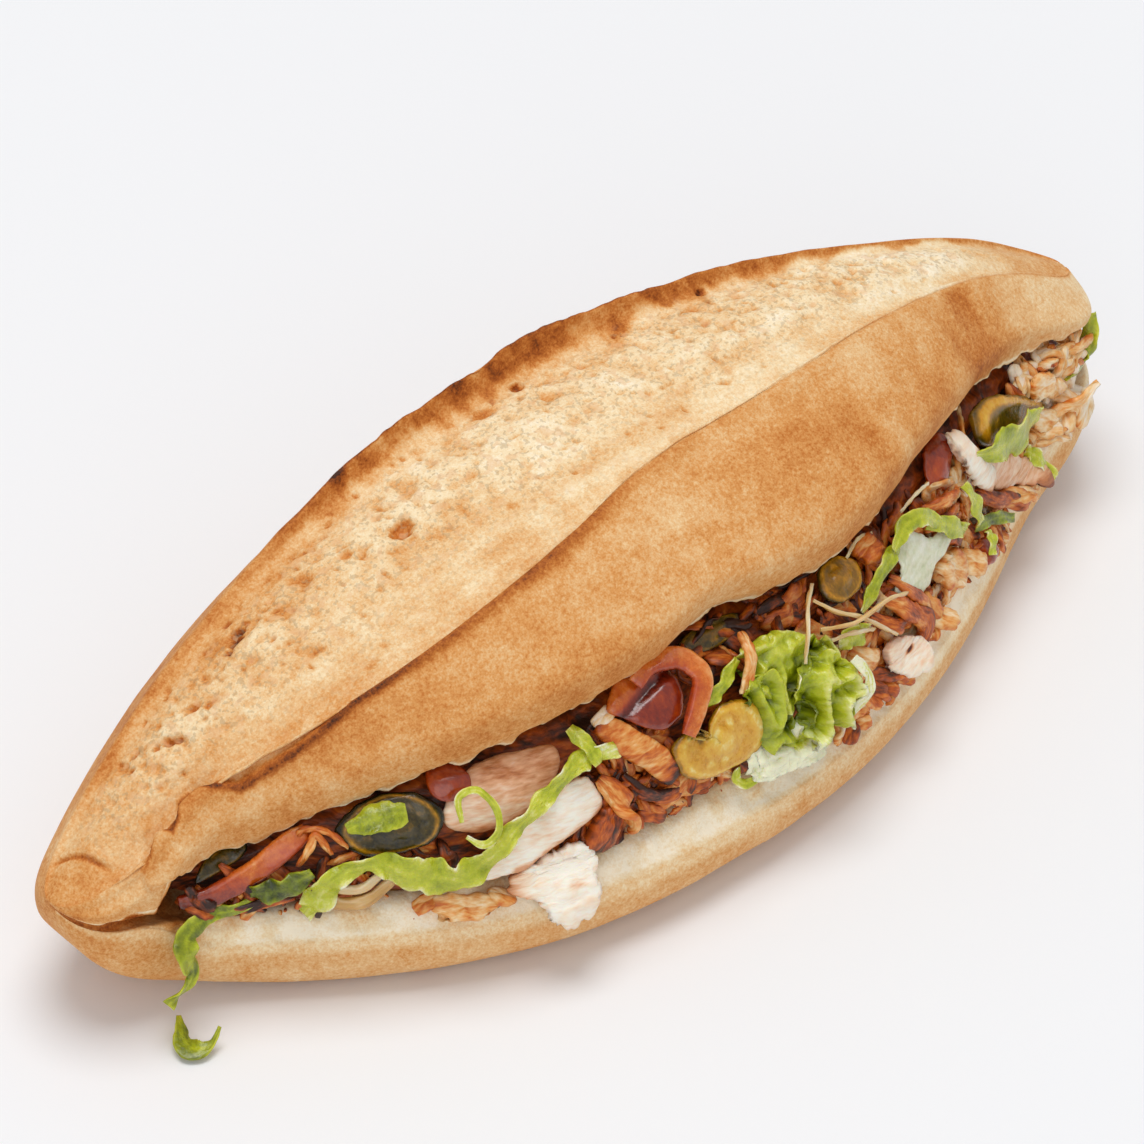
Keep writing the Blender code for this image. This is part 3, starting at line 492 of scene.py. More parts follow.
# The cut crumb: painted light on the ledge's outer edge, random tan blotches on the ledge, painted shade
# under the lid and round the hinge fading over the floor, and painted shade in the narrow slit at the left
# nose.
crumb_tone = 0.115 - 0.09 * ease(27.2, 27.6, u) + 0.09 * rough(loaf, 2.4, 79)
crumb_tone += 0.25 * np.clip(lumps(loaf, 5.0, 80), 0.0, 1.0) * ease(26.3, 27.2, u)
crumb_tone += 0.25 * ease(27.2, 25.0, u) + 0.35 * ease(-104.0, -114.0, x)


def sum_of(tree, operation, first, second):
    """Output of a Math node that combines two numbers or outputs."""
    return node(tree, "Math", {0: first, 1: second}, operation=operation).outputs[0]


def noise(tree, place, size, detail):
    """Output of a noise with lumps about size mm across."""
    return node(tree, "TexNoise", {"Vector": place, "Scale": 1.0 / size, "Detail": detail}).outputs["Fac"]


def food(name, stops, grains, roughness, bumps=(), specks=(), stretch=(1.0, 1.0, 1.0), source="UV",
         soft=0.0, soft_mm=1.0, coat=0.0, specular=0.5):
    """Food whose colour is read from a ramp at each corner's shade plus fine grain. grains and bumps are
    lists of (size in mm, amount) and (size in mm, height in mm), and specks of (size in mm, the noise
    level where they start, strength, colour); specks keep to the corners marked torn."""
    material = bpy.data.materials.new(name)
    material.use_nodes = True
    tree = material.node_tree
    shader = tree.nodes["Principled BSDF"]
    place = node(tree, "Mapping", {"Vector": node(tree, "TexCoord").outputs[source],
                                   "Scale": [1.0 / (MM * k) for k in stretch]}).outputs["Vector"]
    value = node(tree, "Attribute", attribute_name="shade").outputs["Fac"]
    for size, amount in grains:
        level = sum_of(tree, "SUBTRACT", noise(tree, place, size, 2.0), 0.5)
        value = sum_of(tree, "ADD", value, sum_of(tree, "MULTIPLY", level, 2.0 * amount))
    colour = node(tree, "ValToRGB", {"Fac": value}, stops=stops).outputs["Color"]
    for size, level, strength, tint in specks:
        spot = node(tree, "MapRange", {"Value": noise(tree, place, size, 1.0), "From Min": level,
                                       "From Max": level + 0.06, "To Max": strength})
        kept = node(tree, "Attribute", attribute_name="torn").outputs["Fac"]
        share = sum_of(tree, "MULTIPLY", spot.outputs["Result"], kept)
        blended = node(tree, "MixRGB", {"Fac": share, "Color1": colour, "Color2": linear(tint)})
        colour = blended.outputs["Color"]
    tree.links.new(colour, shader.inputs["Base Color"])
    shine = node(tree, "MapRange", {"Value": value, "To Min": roughness[0], "To Max": roughness[1]})
    tree.links.new(shine.outputs["Result"], shader.inputs["Roughness"])
    relief_normal = None
    for size, height in bumps:
        bump = node(tree, "Bump", {"Height": noise(tree, place, size, 3.0), "Distance": height * MM})
        if relief_normal is not None:
            tree.links.new(relief_normal, bump.inputs["Normal"])
        relief_normal = bump.outputs["Normal"]
    if relief_normal is not None:
        tree.links.new(relief_normal, shader.inputs["Normal"])
    for socket, level in {"Subsurface Weight": soft, "Subsurface Radius": (1.0, 0.6, 0.35),
                          "Subsurface Scale": soft_mm * MM, "Coat Weight": coat, "Coat Roughness": 0.15,
                          "IOR": 1.45, "Specular IOR Level": specular}.items():
        shader.inputs[socket].default_value = level
    return material


# Wheat crust: dry, matt, tan where it browned and cream where the dough tore late in the oven.
# Its first specks, grey-brown, are painted shade in the burst's small pores; the second are paler peach.
crust = food("wheat_crust", ((0.0, "#FFF1D6"), (1.0, "#42200C"), (0.18, "#F6DDB2"), (0.34, "#EBC089"),
                             (0.50, "#DC9B57"), (0.64, "#C57630"), (0.78, "#A45517"), (0.90, "#783A0E")),
             ((0.9, 0.17), (0.4, 0.16), (5.0, 0.12)), (0.8, 0.6), bumps=((2.2, 0.25), (0.6, 0.15)),
             specks=((1.0, 0.56, 0.40, "#A98E6A"), (2.4, 0.58, 0.45, "#E8B888")), source="Object",
             specular=0.3)
make_piece("bread_loaf", loaf.reshape(-1, 3), tube_faces(*loaf.shape[:2]), crust, "bread", "bread",
           shade=bake + (crumb_tone - bake) * crumb,
           torn=np.clip(rear + 0.35 * fore, 0.0, 1.0) * (1.0 - crumb))



# ======================================================================= meat
# Chicken and beef shaved off the spit, crisp and brown outside and pale inside, heaped into the
# slit: a dark core, darkened further as painted shade in the gaps, with the slices, shreds and bits
# that show lying on it.

FOOT = 15


def drape_section(s):
    """Control points (y, z) of the filling's face: over the crust, the ledge, up, and under the lid."""
    yf, yl, zs, ze, zr, zl = front(s), lip_y(s), sole(s), rim(s), seam(s), lip_z(s)
    k, g = np.clip(gape(s) / GAPE, 0.05, 1.0), zl - zr
    return np.array([
        (yf - 2.2, zs + 5.0 * blunt(s)), (1.03 * yf - 1.2, zs + 0.62 * (ze - zs)), (yf - 0.8, ze + 1.6),
        (yf + 6.0 * k, zr + 2.4), (yf + 9.5 * k, zr + 0.44 * g), (yl - 1.0 * k, zl - 8.0 * k),
        (yl + 9.0 * k, zl - 4.0 * k)])


def face_rows(x):
    """The face's section at each x, with the distance of its points up the face from its foot."""
    points = drape_section(np.clip(x / HALF_LENGTH, -0.995, 0.995)).transpose(0, 2, 1)
    rows = through(points, np.linspace(0.0, 6.0, 31))
    run = np.cumsum(np.hypot(*np.moveaxis(np.diff(rows, axis=0, prepend=rows[:1]), -1, 0)), axis=0)
    return rows, run - run[FOOT]


def face_point(x, v):
    """Points of the face: x along the loaf and v up the face from its foot, in mm."""
    x, v = np.broadcast_arrays(np.asarray(x, float), np.asarray(v, float))
    shape, x, v = x.shape, x.ravel(), v.ravel()
    rows, run = face_rows(x)
    k = np.clip((run <= v).sum(axis=0) - 1, 0, len(run) - 2)
    each = np.arange(len(x))
    t = np.clip((v - run[k, each]) / (run[k + 1, each] - run[k, each]), 0.0, 1.0)[:, None]
    yz = rows[k, each] * (1.0 - t) + rows[k + 1, each] * t
    return np.column_stack([x, yz]).reshape(*shape, 3)


def face_frame(x, v, step=1.5):
    """Points of the face with unit directions along, up the face and outwards."""
    run = face_rows(np.ravel(np.asarray(x, float)))[1]
    inside = np.clip(v, (run[0] + step).reshape(np.shape(x)), (run[-1] - step).reshape(np.shape(x)))
    along = unit(face_point(x + step, inside) - face_point(x - step, inside))
    up = face_point(x, inside + step) - face_point(x, inside - step)
    out = unit(np.cross(along, up))
    return face_point(x, v), along, np.cross(out, along), out


def slab(middle, thickness):
    """Closed solids round many grids at once. middle is (pieces, rows, columns, 3) and thickness
    (pieces, rows, columns): each side stands half the thickness off, and the rims are joined."""
    pieces, rows, columns = middle.shape[:3]
    half = 0.5 * thickness[..., None] * outward(middle)
    corners = np.stack([middle + half, middle - half], axis=1).reshape(-1, 3)
    size = rows * columns
    grid = np.arange(size).reshape(rows, columns)
    top = np.stack([grid[:-1, :-1], grid[1:, :-1], grid[1:, 1:], grid[:-1, 1:]], axis=-1).reshape(-1, 4)
    loop = np.concatenate([grid[0, :-1], grid[:-1, -1], grid[-1, :0:-1], grid[:0:-1, 0]])
    rim = np.stack([loop, np.roll(loop, -1), np.roll(loop, -1) + size, loop + size], axis=-1)
    one = np.concatenate([top, top[:, ::-1] + size, rim])
    faces = (one[None] + 2 * size * np.arange(pieces)[:, None, None]).reshape(-1, 4)
    return corners, faces.tolist()


def both_sides(values):
    """Values of a grid (pieces, rows, columns, ...) for both sides of its slab."""
    return np.stack([values, values], axis=1).reshape(-1, *values.shape[3:])


def per_piece(*values):
    """Each list of one number per piece as an array that spreads over the pieces' grids."""
    return [np.asarray(value, float).reshape(-1, 1, 1) for value in values]


def unit_grid(rows, columns):
    """p along and q across, each from -1 to 1, closer together at the rims."""
    p, q = [0.3 * np.sin(np.linspace(-0.5, 0.5, count) * math.pi) + 0.7 * np.linspace(-1.0, 1.0, count)
            for count in (rows, columns)]
    return np.meshgrid(p, q, indexing="ij")


def rim_of(p, q, power=8):
    """0 inside and 1 on the rim of the unit square."""
    return np.maximum(np.abs(p), np.abs(q)) ** power


def slices(x, v, lift, length, width, turn, tilt, thickness, bend, grid, seed, ragged):
    """Mid surfaces of many torn slices on the filling's face. Each is a flat sheet turned in the
    face, tilted, bent lengthwise, crumpled by lumps, and its outline pushed in and out by lumps."""
    p, q = unit_grid(*grid)
    length, width, turn, tilt, bend, thickness = per_piece(length, width, turn, tilt, bend, thickness)
    number = np.arange(len(length)).reshape(-1, 1, 1) * 37.0 + 0 * p
    place = np.stack([p * length * 0.5 + 0 * number, q * width * 0.5 + 0 * number, number], axis=-1)
    edge = 1.0 + ragged * rough(place, 3.2, seed) * rim_of(p, q, 3)
    a = 0.5 * length * p * np.sqrt(1.0 - 0.42 * q * q) * edge
    b = 0.5 * width * q * np.sqrt(1.0 - 0.42 * p * p) * edge
    rise = bend * length * (p * p - 0.4) + 0.08 * width * rough(place, 5.0, seed + 7)
    centre, along, up, out = face_frame(x, v)
    cos, sin = np.cos(turn), np.sin(turn)
    first = along[:, None, None] * cos[..., None] + up[:, None, None] * sin[..., None]
    flat = up[:, None, None] * cos[..., None] - along[:, None, None] * sin[..., None]
    away = out[:, None, None] + 0 * first
    second = flat * np.cos(tilt)[..., None] + away * np.sin(tilt)[..., None]
    third = away * np.cos(tilt)[..., None] - flat * np.sin(tilt)[..., None]
    middle = (centre + out * np.reshape(lift, (-1, 1)))[:, None, None]
    middle = middle + first * a[..., None] + second * b[..., None] + third * rise[..., None]
    thick = thickness * np.sqrt(1.0 - 0.9 * rim_of(p, q, 6)) * (1.0 + 0.25 * rough(place, 2.2, seed + 13))
    return middle, thick, place


def cutout(outline, lift, thickness, grid, seed, ragged, dish=-0.4, crumple=0.3, stiff=0.0):
    """Mid surface of one piece with its own outline, points (x, v) on the face. The unit square bends to
    a disc, (p sqrt(1 - q^2 / 2), q sqrt(1 - p^2 / 2)), and the disc stretches to the outline along its
    radii. The piece follows the face, or bridges its hollows as far as it is stiff."""
    p, q = unit_grid(*grid)
    spots = np.array(outline, float)
    closed = np.concatenate([spots[-1:], spots, spots[:2]])
    ring = through(closed, np.linspace(1.0, len(spots) + 0.99, 200)) - spots.mean(axis=0)
    heading = np.arctan2(ring[:, 1], ring[:, 0])
    order = np.argsort(heading)
    a, b = p * np.sqrt(1.0 - 0.5 * q * q), q * np.sqrt(1.0 - 0.5 * p * p)
    reach = np.interp(np.arctan2(b, a), heading[order], np.hypot(*ring.T)[order], period=2.0 * math.pi)
    place = np.stack([reach * a, reach * b, 50.0 * seed + 0 * a], axis=-1)
    jag = 1.0 + ragged * rough(place, 3.0, seed) * rim_of(p, q, 3)
    (mid_x, mid_v), foot, top = spots.mean(axis=0), spots[:, 1].min(), spots[:, 1].max()
    px, pv = mid_x + reach * a * jag, mid_v + reach * b * jag
    rise = lift + dish * (a * a + b * b) + crumple * rough(place, 4.5, seed + 3)
    ground, _, _, out = face_frame(px, pv)
    low, high = face_point(mid_x, foot), face_point(mid_x, top)
    up = unit(high - low)
    plane = 0.5 * (low + high) + (px - mid_x)[..., None] * (1.0, 0.0, 0.0)
    plane = plane + (pv - 0.5 * (foot + top))[..., None] * up
    middle = (ground + out * rise[..., None]) * (1.0 - stiff)
    middle = middle + (plane + np.cross((1.0, 0.0, 0.0), up) * rise[..., None]) * stiff
    thick = thickness * np.sqrt(1.0 - 0.9 * rim_of(p, q, 7))
    return middle[None], thick[None], place[None]


def lay(name, shape, tone, material, slot, node_name):
    """Makes the pieces of one shape (mid surfaces, thicknesses, places) with their tone."""
    middle, thick, place = shape
    make_piece(name, *slab(middle, thick), material, slot, node_name, shade=both_sides(tone),
               uv=both_sides(place[..., :2]))


def strips(routes, outs, width, thickness, grid, seed, ruffle, waves, taper, ragged, widths=(1.0, 1.0)):
    """Mid surfaces of many strips. routes and outs are (points, pieces, 3): a Catmull-Rom curve
    carries a cross line whose width tapers to the ends and whose edges ripple and fray."""
    p, q = unit_grid(*grid)
    where = 0.5 * (p[:, 0] + 1.0) * (len(routes) - 1)
    path, out = [through(points, where).transpose(1, 0, 2) for points in (routes, outs)]
    ahead = unit(np.gradient(path, axis=1))
    across = unit(np.cross(out, ahead))
    out = np.cross(ahead, across)
    width, thickness = per_piece(width, thickness)
    run = np.cumsum(np.linalg.norm(np.diff(path, axis=1, prepend=path[:, :1]), axis=-1), axis=1)
    number = np.arange(len(path)).reshape(-1, 1, 1) * 41.0
    place = np.stack([run[:, :, None] + 0 * q, 0.5 * width * q + 0 * p, number + 0 * q + 0 * p], axis=-1)
    half = 0.5 * width * (1.0 - taper * np.abs(p) ** 3) * (1.0 + ragged * rough(place, 3.0, seed))
    half = half * np.interp(0.5 * (p + 1.0), np.linspace(0.0, 1.0, len(widths)), widths)
    ripple = np.sin(waves * math.pi * p + 1.3 * q + number) + 0.45 * rough(place, 2.6, seed + 5)
    rise = ruffle * ripple * (0.25 + 0.75 * q * q)
    middle = path[:, :, None] + across[:, :, None] * (half * q)[..., None]
    middle = middle + out[:, :, None] * rise[..., None]
    thick = thickness * np.sqrt(1.0 - 0.9 * rim_of(p, q, 6))
    return middle, thick, place


# The core under the heap fills the pocket from its face inwards.
HEAP_LEFT, HEAP_RIGHT, CORE_ROWS = -0.835, 0.93, 220
core_s = np.sin(np.linspace(math.asin(HEAP_LEFT), math.asin(HEAP_RIGHT), CORE_ROWS))
face = through(drape_section(core_s), np.linspace(3.0, 6.0, 40)) + np.array((0.9, -0.5)).reshape(1, 2, 1)
inner = through(pocket_section(core_s)[2:7], np.linspace(0.0, 4.0, 24))
middle = 0.5 * (inner.min(axis=0) + inner.max(axis=0))
ring = np.concatenate([face, middle + (inner - middle) * 0.90])
share = (core_s - HEAP_LEFT) / (HEAP_RIGHT - HEAP_LEFT)
ring = ring.mean(axis=0) + (ring - ring.mean(axis=0)) * np.maximum(0.3, fade(2.0 * share - 1.0, 10, 0.5))
core_x = np.broadcast_to(core_s * HALF_LENGTH, ring[:, :1].shape)
core = np.concatenate([core_x, ring], axis=1).transpose(2, 0, 1)
crumple = 0.9 * rough(core, 5.0, 83) + 0.7 * (0.5 - np.abs(rough(core * (0.5, 1.0, 1.0), 2.6, 89)))
core = core + tube_normals(core) * (crumple - 0.6)[..., None]

# Spit-roast meat: fat and juice make it half glossy, browner where it faced the fire.
meat = food("spit_roast_meat", ((0.0, "#FDEBD2"), (1.0, "#331304"), (0.22, "#F5CE96"), (0.40, "#E8A254"),
                                (0.56, "#D46F1C"), (0.72, "#B04D0B"), (0.87, "#722F07")),
            ((0.6, 0.30), (2.0, 0.45)), (0.30, 0.5), bumps=((0.5, 0.25), (1.5, 0.4)),
            stretch=(3.0, 1.0, 1.0), soft=0.12, soft_mm=2.0, coat=0.15)
# Chicken breast: white with a rosy tinge and coarse fibres along each slice.
chicken = food("chicken_breast", ((0.0, "#FFF6E6"), (1.0, "#4A1E0C"), (0.2, "#F9DEC2"), (0.4, "#E9B288"),
                                  (0.6, "#C77F4C"), (0.8, "#8C4620")),
               ((0.6, 0.24), (2.2, 0.20)), (0.42, 0.5), bumps=((0.6, 0.3),), stretch=(4.0, 1.0, 1.0),
               soft=0.25, soft_mm=2.5, coat=0.15)

draw = np.random.default_rng(97)


def spread(zones, scale):
    """Random places in the zones: their x, v, reach and shade. scale thins the pieces out."""
    rows = []
    for x0, x1, v0, v1, pieces, reach, shade in zones:
        n = int(round(pieces * scale))
        rows.append([draw.uniform(x0, x1, n), draw.uniform(v0, v1, n), reach * draw.uniform(0.7, 1.3, n),
                     shade + draw.normal(0.0, 0.14, n)])
    return np.concatenate(rows, axis=1)


# Where the meat lies: (x from, x to, v from, v to, pieces, reach, shade).
# The zones at x -34 to -16 (v 12 to 22) and x -10 to 30 (v 21 to 31) reach under the lid's edge and are
# given dark shades as painted shade.
MEAT_ZONES = (
    (-110, -90, 0, 8, 12, 1.6, 0.76), (-90, -66, 6, 12, 8, 1.6, 0.78), (-60, -38, 1, 6, 7, 1.8, 0.60),
    (-40, -14, 2, 14, 26, 1.9, 0.72), (-34, -16, 12, 22, 8, 2, 0.80), (-20, 8, 1, 5, 12, 1.7, 0.56),
    (-10, 30, 21, 31, 18, 2.4, 0.80), (22, 58, -5, 12, 26, 2.2, 0.34), (22, 58, -5, 12, 30, 2, 0.56),
    (22, 60, 10, 23, 24, 2.2, 0.74), (56, 84, -3, 20, 20, 2.3, 0.36), (56, 84, -3, 20, 28, 2, 0.58),
    (76, 104, -6, 8, 14, 2.2, 0.38), (76, 104, -6, 8, 22, 2, 0.62), (96, 112, 0, 16, 18, 2.2, 0.42),
    (104, 126, -5, 17, 60, 2, 0.20))
FLAKE_GRID, SHRED_GRID, BIT_GRID, CURL_GRID = (14, 9), (16, 6), (24, 16), (60, 12)
FLAKE_SHARE, SHRED_SHARE = 0.85, 0.8

sx, sv, reach, shade = spread(MEAT_ZONES, FLAKE_SHARE)
turn_of, tilt = draw.uniform(0.0, math.pi, len(sx)), draw.normal(0.0, 0.5, len(sx))
thickness, bend = draw.uniform(0.9, 1.7, len(sx)), draw.normal(0.0, 0.16, len(sx))
shape = slices(sx, sv, 0.4 + 0.25 * reach, 3.6 * reach, 1.9 * reach, turn_of, tilt, thickness, bend,
               FLAKE_GRID, 101, 0.34)
tone = shade[:, None, None] - 0.08 + 0.30 * rough(shape[2], 4.0, 103)
tone = tone + 0.22 * (rim_of(*unit_grid(*FLAKE_GRID), 4) - 0.3)
lay("meat_flakes", shape, tone, meat, "meat", "doner_meat")

sx, sv, reach, shade = spread(MEAT_ZONES, SHRED_SHARE)
turn_of = draw.uniform(0.0, math.pi, len(sx))
span = 2.3 * reach
routes, outs = [], []
for step, height in ((-1.0, 0.0), (-0.4, 1.1), (0.3, 1.3), (1.0, 0.2)):
    centre, _, _, out = face_frame(sx + step * span * np.cos(turn_of), sv + step * span * np.sin(turn_of))
    rise = draw.normal(height, 0.5, len(sx)) + 0.2 * reach
    routes.append(centre + out * rise[:, None] + draw.normal(0.0, 0.6, centre.shape))
    outs.append(out + draw.normal(0.0, 0.5, out.shape))
shape = strips(np.array(routes), np.array(outs), draw.uniform(0.8, 2.8, len(sx)),
               draw.uniform(0.7, 1.5, len(sx)), SHRED_GRID, 107, 0.4, 3.0, 0.7, 0.45)
tone = shade[:, None, None] - 0.04 + 0.28 * rough(shape[2], 4.0, 109)
lay("meat_shreds", shape, tone + 0.12 * rim_of(*unit_grid(*SHRED_GRID), 4), meat, "meat", "doner_meat")

# The core is dark roast brown, darkened further as painted shade for the gaps between the pieces, and darker
# still in its hollows.
make_piece("meat_core", core.reshape(-1, 3), tube_faces(*core.shape[:2], turned=True), meat, "meat",
           "doner_meat", shade=0.84 - 0.10 * crumple + 0.08 * rough(core, 6.0, 113), uv=core[..., [0, 2]])

# Single bits that stand out: (x, v, lift, length, width, turn, thickness, shade).
BITS = (
    (-36, 4.5, 2.6, 9.5, 7, 60, 4, 0.72), (-33.5, 8.5, 2, 7, 4, 120, 2.5, 0.78),
    (-67, -4.8, 1.4, 13, 5.6, -8, 2.6, 0.34), (-73, -2.6, 1, 6, 3.6, 20, 1.8, 0.44),
    (-60, -4.4, 1.4, 6, 4, -30, 2, 0.28), (-29, 24.5, 3.4, 5.5, 3.4, 20, 1.6, 0.10),
    (-20, 5, 2.2, 9, 4.6, 18, 1.8, 0.50), (-13, 3.4, 1.8, 6.5, 3.6, -10, 1.6, 0.60),
    (-25, 2.2, 2, 7, 4, -30, 2, 0.70), (-5, 2, 1.6, 5, 3, 20, 1.6, 0.52),
    (66, 3, 3.2, 12, 8, -48, 3.2, 0.34), (74, -3, 2.6, 9, 5.5, -50, 2.4, 0.30),
    (69, 8.5, 3, 6.5, 4.2, -50, 2.6, 0.76), (59, -4, 2.6, 9, 5, -60, 2.4, 0.28),
    (44, 22, 3, 6, 5.6, 0, 4, 0.52), (33, 6.5, 4.2, 9.5, 5, -38, 2, 0.42),
    (29, 4.5, 4.6, 6, 3.6, 10, 1.8, 0.34), (28, -4, 2.6, 7.5, 4.2, -20, 2, 0.40),
    (24.5, -7, 1.4, 5, 3.4, 30, 2, 0.70), (28.5, -7, 1.2, 4, 2.8, -20, 1.6, 0.48),
    (36, -4.5, 2.6, 8, 3.6, -40, 1.8, 0.66), (42, -6, 2, 6, 3.2, -50, 1.6, 0.50),
    (52, 6, 4, 9, 4.6, -60, 2.2, 0.62), (56, 1, 3.4, 8, 4.4, -70, 2, 0.50),
    (94, -4, 3, 9, 4.2, -50, 2, 0.50), (98, -6, 2.4, 6, 3.4, -40, 1.8, 0.36),
    (111, 14, 3.4, 9, 5.6, -20, 2, 0.22), (117, 9, 3.4, 8, 5, -60, 2, 0.18),
    (112, 2, 3.6, 9, 5, -40, 2, 0.24), (120, 0, 3.4, 8, 4.6, -70, 2, 0.20),
    (113, -3, 2.4, 7, 4, -40, 1.8, 0.26), (121, 8, 2.2, 6, 3.6, -50, 1.6, 0.24))
bx, bv, lift, length, width, turn_of, thickness, shade = np.array(BITS, float).T
tilt, bend = draw.normal(0.0, 0.25, len(BITS)), draw.normal(-0.04, 0.05, len(BITS))
shape = slices(bx, bv, lift, length, width, np.radians(turn_of), tilt, thickness, bend, BIT_GRID, 115, 0.36)
tone = shade[:, None, None] + 0.20 * rough(shape[2], 3.6, 117)
tone = tone + 0.16 * (rim_of(*unit_grid(*BIT_GRID), 4) - 0.25)
lay("meat_bits", shape, tone, meat, "meat", "doner_meat")

# Curls and strands: (width, thickness, shade, places (x, v, lift) along it).
CURLS = (
    (4.6, 2, 0.58, (43, 14, 3.4), (47, 8, 5.4), (51.5, 1, 5), (50, -5, 2.6)),
    (3.4, 1.6, 0.68, (38, 13, 3.4), (42, 8, 5), (46, 6, 4.6), (49, 3, 3)),
    (3, 1.5, 0.62, (46, 16, 3), (50, 10, 4.8), (54, 4, 4.4), (56, -2, 2.6)),
    (2.6, 1.3, 0.46, (61, 20.5, 3.4), (66, 19, 4.6), (70, 17.5, 4.4), (74, 16, 3)),
    (2.6, 1.3, 0.54, (60, 17, 3), (64, 16, 4.2), (69, 14.5, 4.2), (73, 12.5, 3)),
    (4, 1.8, 0.66, (82, 8.5, 2.4), (87, 2, 3.8), (92, -3.5, 3.4), (97, -7.5, 2.2)),
    (2.6, 1.3, 0.38, (90, -1, 3), (94, -4.5, 4), (98, -7, 3.6), (101, -8.5, 2.4)),
    (3.8, 1.8, 0.70, (27, 5, 2.8), (31, 0, 4), (34, -3.5, 3.6), (37, -7, 2)),
    (3, 1.5, 0.42, (24, 1, 3), (28, -1.5, 3.6), (31, -4, 3.2), (34, -7, 2)),
    (3.2, 1.6, 0.74, (31, 4, 3.2), (36, -1, 4.2), (40, -4.5, 3.6), (44, -7.5, 2)),
    (5.2, 1.8, 0.47, (-35, 15, 3), (-32.5, 10, 4.4), (-31, 5, 4), (-29, 0, 2)),
    (3, 1.5, 0.80, (-30, 13, 2.4), (-26, 8, 3.4), (-21, 5, 3), (-16, 5, 2)),
    (2.2, 1.1, 0.76, (-108, 2, 1), (-104, 1.4, 2), (-99, 2.5, 2.2), (-94, 3, 1.2)),
    (1.6, 0.9, 0.40, (-92, 10, 3), (-89, 13.5, 4), (-87, 15.5, 4.2), (-86, 12, 3.4)),
    (1.4, 0.8, 0.50, (-90, 15.5, 3), (-88, 16.5, 3.8), (-85, 16, 3.8), (-83, 13, 3)),
    (2.4, 1.3, 0.20, (112, 1.5, 2.6), (116, 1.8, 4.6), (120, 1.6, 7.2), (124.5, 1, 8.8)),
    (2.6, 1.4, 0.36, (5, 27, 4.6), (4.5, 24, 5.6), (2.5, 20.5, 5.8), (0, 17.5, 4.8)))
width, thickness, shade = np.array([row[:3] for row in CURLS], float).T
spots = np.array([row[3:] for row in CURLS], float)
centre, _, _, out = face_frame(spots[..., 0], spots[..., 1])
routes = (centre + out * spots[..., 2:]).transpose(1, 0, 2)
outs = (out + np.stack([draw.normal(0.0, 0.35, out.shape[:2])] * 3, axis=-1)).transpose(1, 0, 2)
shape = strips(routes, outs, width, thickness, CURL_GRID, 119, 0.5, 2.0, 0.55, 0.35)
p, q = unit_grid(*CURL_GRID)
tone = shade[:, None, None] + 0.20 * rough(shape[2], 4.0, 121) + 0.14 * q + 0.12 * rim_of(p, q, 5)
lay("meat_curls", shape, tone, meat, "meat", "doner_meat")


# ======================================================================= carved slices
# Larger slices of chicken that lie on the heap, cut across the grain: pale and fibrous, with a
# thin roasted edge on the side that faced the fire.

# (name, material, slot, lift, thickness, shade, raggedness, roasted side in degrees, outline (x, v)).
CARVED = (
    ("slice_pale", chicken, "chicken", 2, 2.2, 0.50, 0.05, -90, ((-55, 24.5), (-47, 24.5), (-41, 23.5),
     (-42, 19), (-50, 13.5), (-58, 11.5), (-65, 13.5), (-64, 19))),
    ("slice_white", chicken, "chicken", 3.2, 3.2, 0.12, 0.08, -70, ((-64, 2.5), (-59, 8), (-50, 12.5),
     (-41, 16.5), (-37, 15.5), (-36.5, 9.5), (-46, 5.5), (-56, 1.5))),
    ("chunk_front", chicken, "chicken", 3.4, 3.6, 0.05, 0.36, 180, ((-57, -1), (-50, 2.5), (-41, 3.5),
     (-39.5, -1), (-41, -6.5), (-46, -11.5), (-50, -12.5), (-55, -7.5))),
    ("slice_crisp", meat, "crisp_meat", 3.6, 2.6, 0.50, 0.14, -45, ((-31.5, 23.5), (-27.5, 23.5), (-24, 20),
     (-19.5, 14.5), (-18.5, 9), (-21, 8), (-26, 14), (-31, 20))),
    ("chunk_right", chicken, "chicken", 4.4, 2.4, 0.08, 0.40, -90, ((76.5, 22.5), (79, 22.5), (82, 18.5),
     (85.5, 13), (87.5, 9), (85.5, 6.5), (80.5, 11.5), (77.5, 17))),
    ("slice_right", chicken, "chicken", 3.8, 2, 0.36, 0.40, -90, ((86, 11), (90, 10.5), (98, 3.5), (105, -4),
     (106, -8), (101, -6.5), (94, -1), (87.5, 5))))
CARVED_GRID, ROSY_GRID = (60, 44), (50, 40)
for k, (name, material, slot, lift, thickness, shade, ragged, side, outline) in enumerate(CARVED):
    middle, thick, place = cutout(outline, lift, thickness, CARVED_GRID, 131 + 7 * k, ragged, -0.6, 0.5)
    fibres = rough(place * (0.25, 1.0, 1.0), 1.3, 139 + k)
    thick = thick * (1.0 + 0.16 * fibres + 0.10 * rough(place, 3.0, 141 + k))
    heading = np.array((math.cos(math.radians(side)), math.sin(math.radians(side))))
    toward = place[..., :2] @ heading / np.max((outline - np.mean(outline, axis=0)) @ heading)
    roasted = ease(0.55, 0.95, toward + 0.2 * lumps(place, 3.0, 137 + k))
    tone = shade + 0.10 * fibres + 0.12 * rough(place, 4.0, 143 + k) + 0.40 * roasted
    tone = tone + 0.5 * np.clip(rough(place * (0.35, 1.0, 1.0), 2.2, 145 + k) - 0.45, 0.0, 1.0)
    tone = tone + 0.12 * rim_of(*unit_grid(*CARVED_GRID), 10)
    # slice_pale lies in the lid's shadow: its darker shade is painted shade, and it is painted lighter
    # towards its lower left, where the shadow ends.
    if name == "slice_pale":
        tone = tone - 0.22 * ease(3.0, -5.0, place[..., 1] + 0.4 * place[..., 0])
    lay(name, (middle, thick, place), tone, material, slot, name)

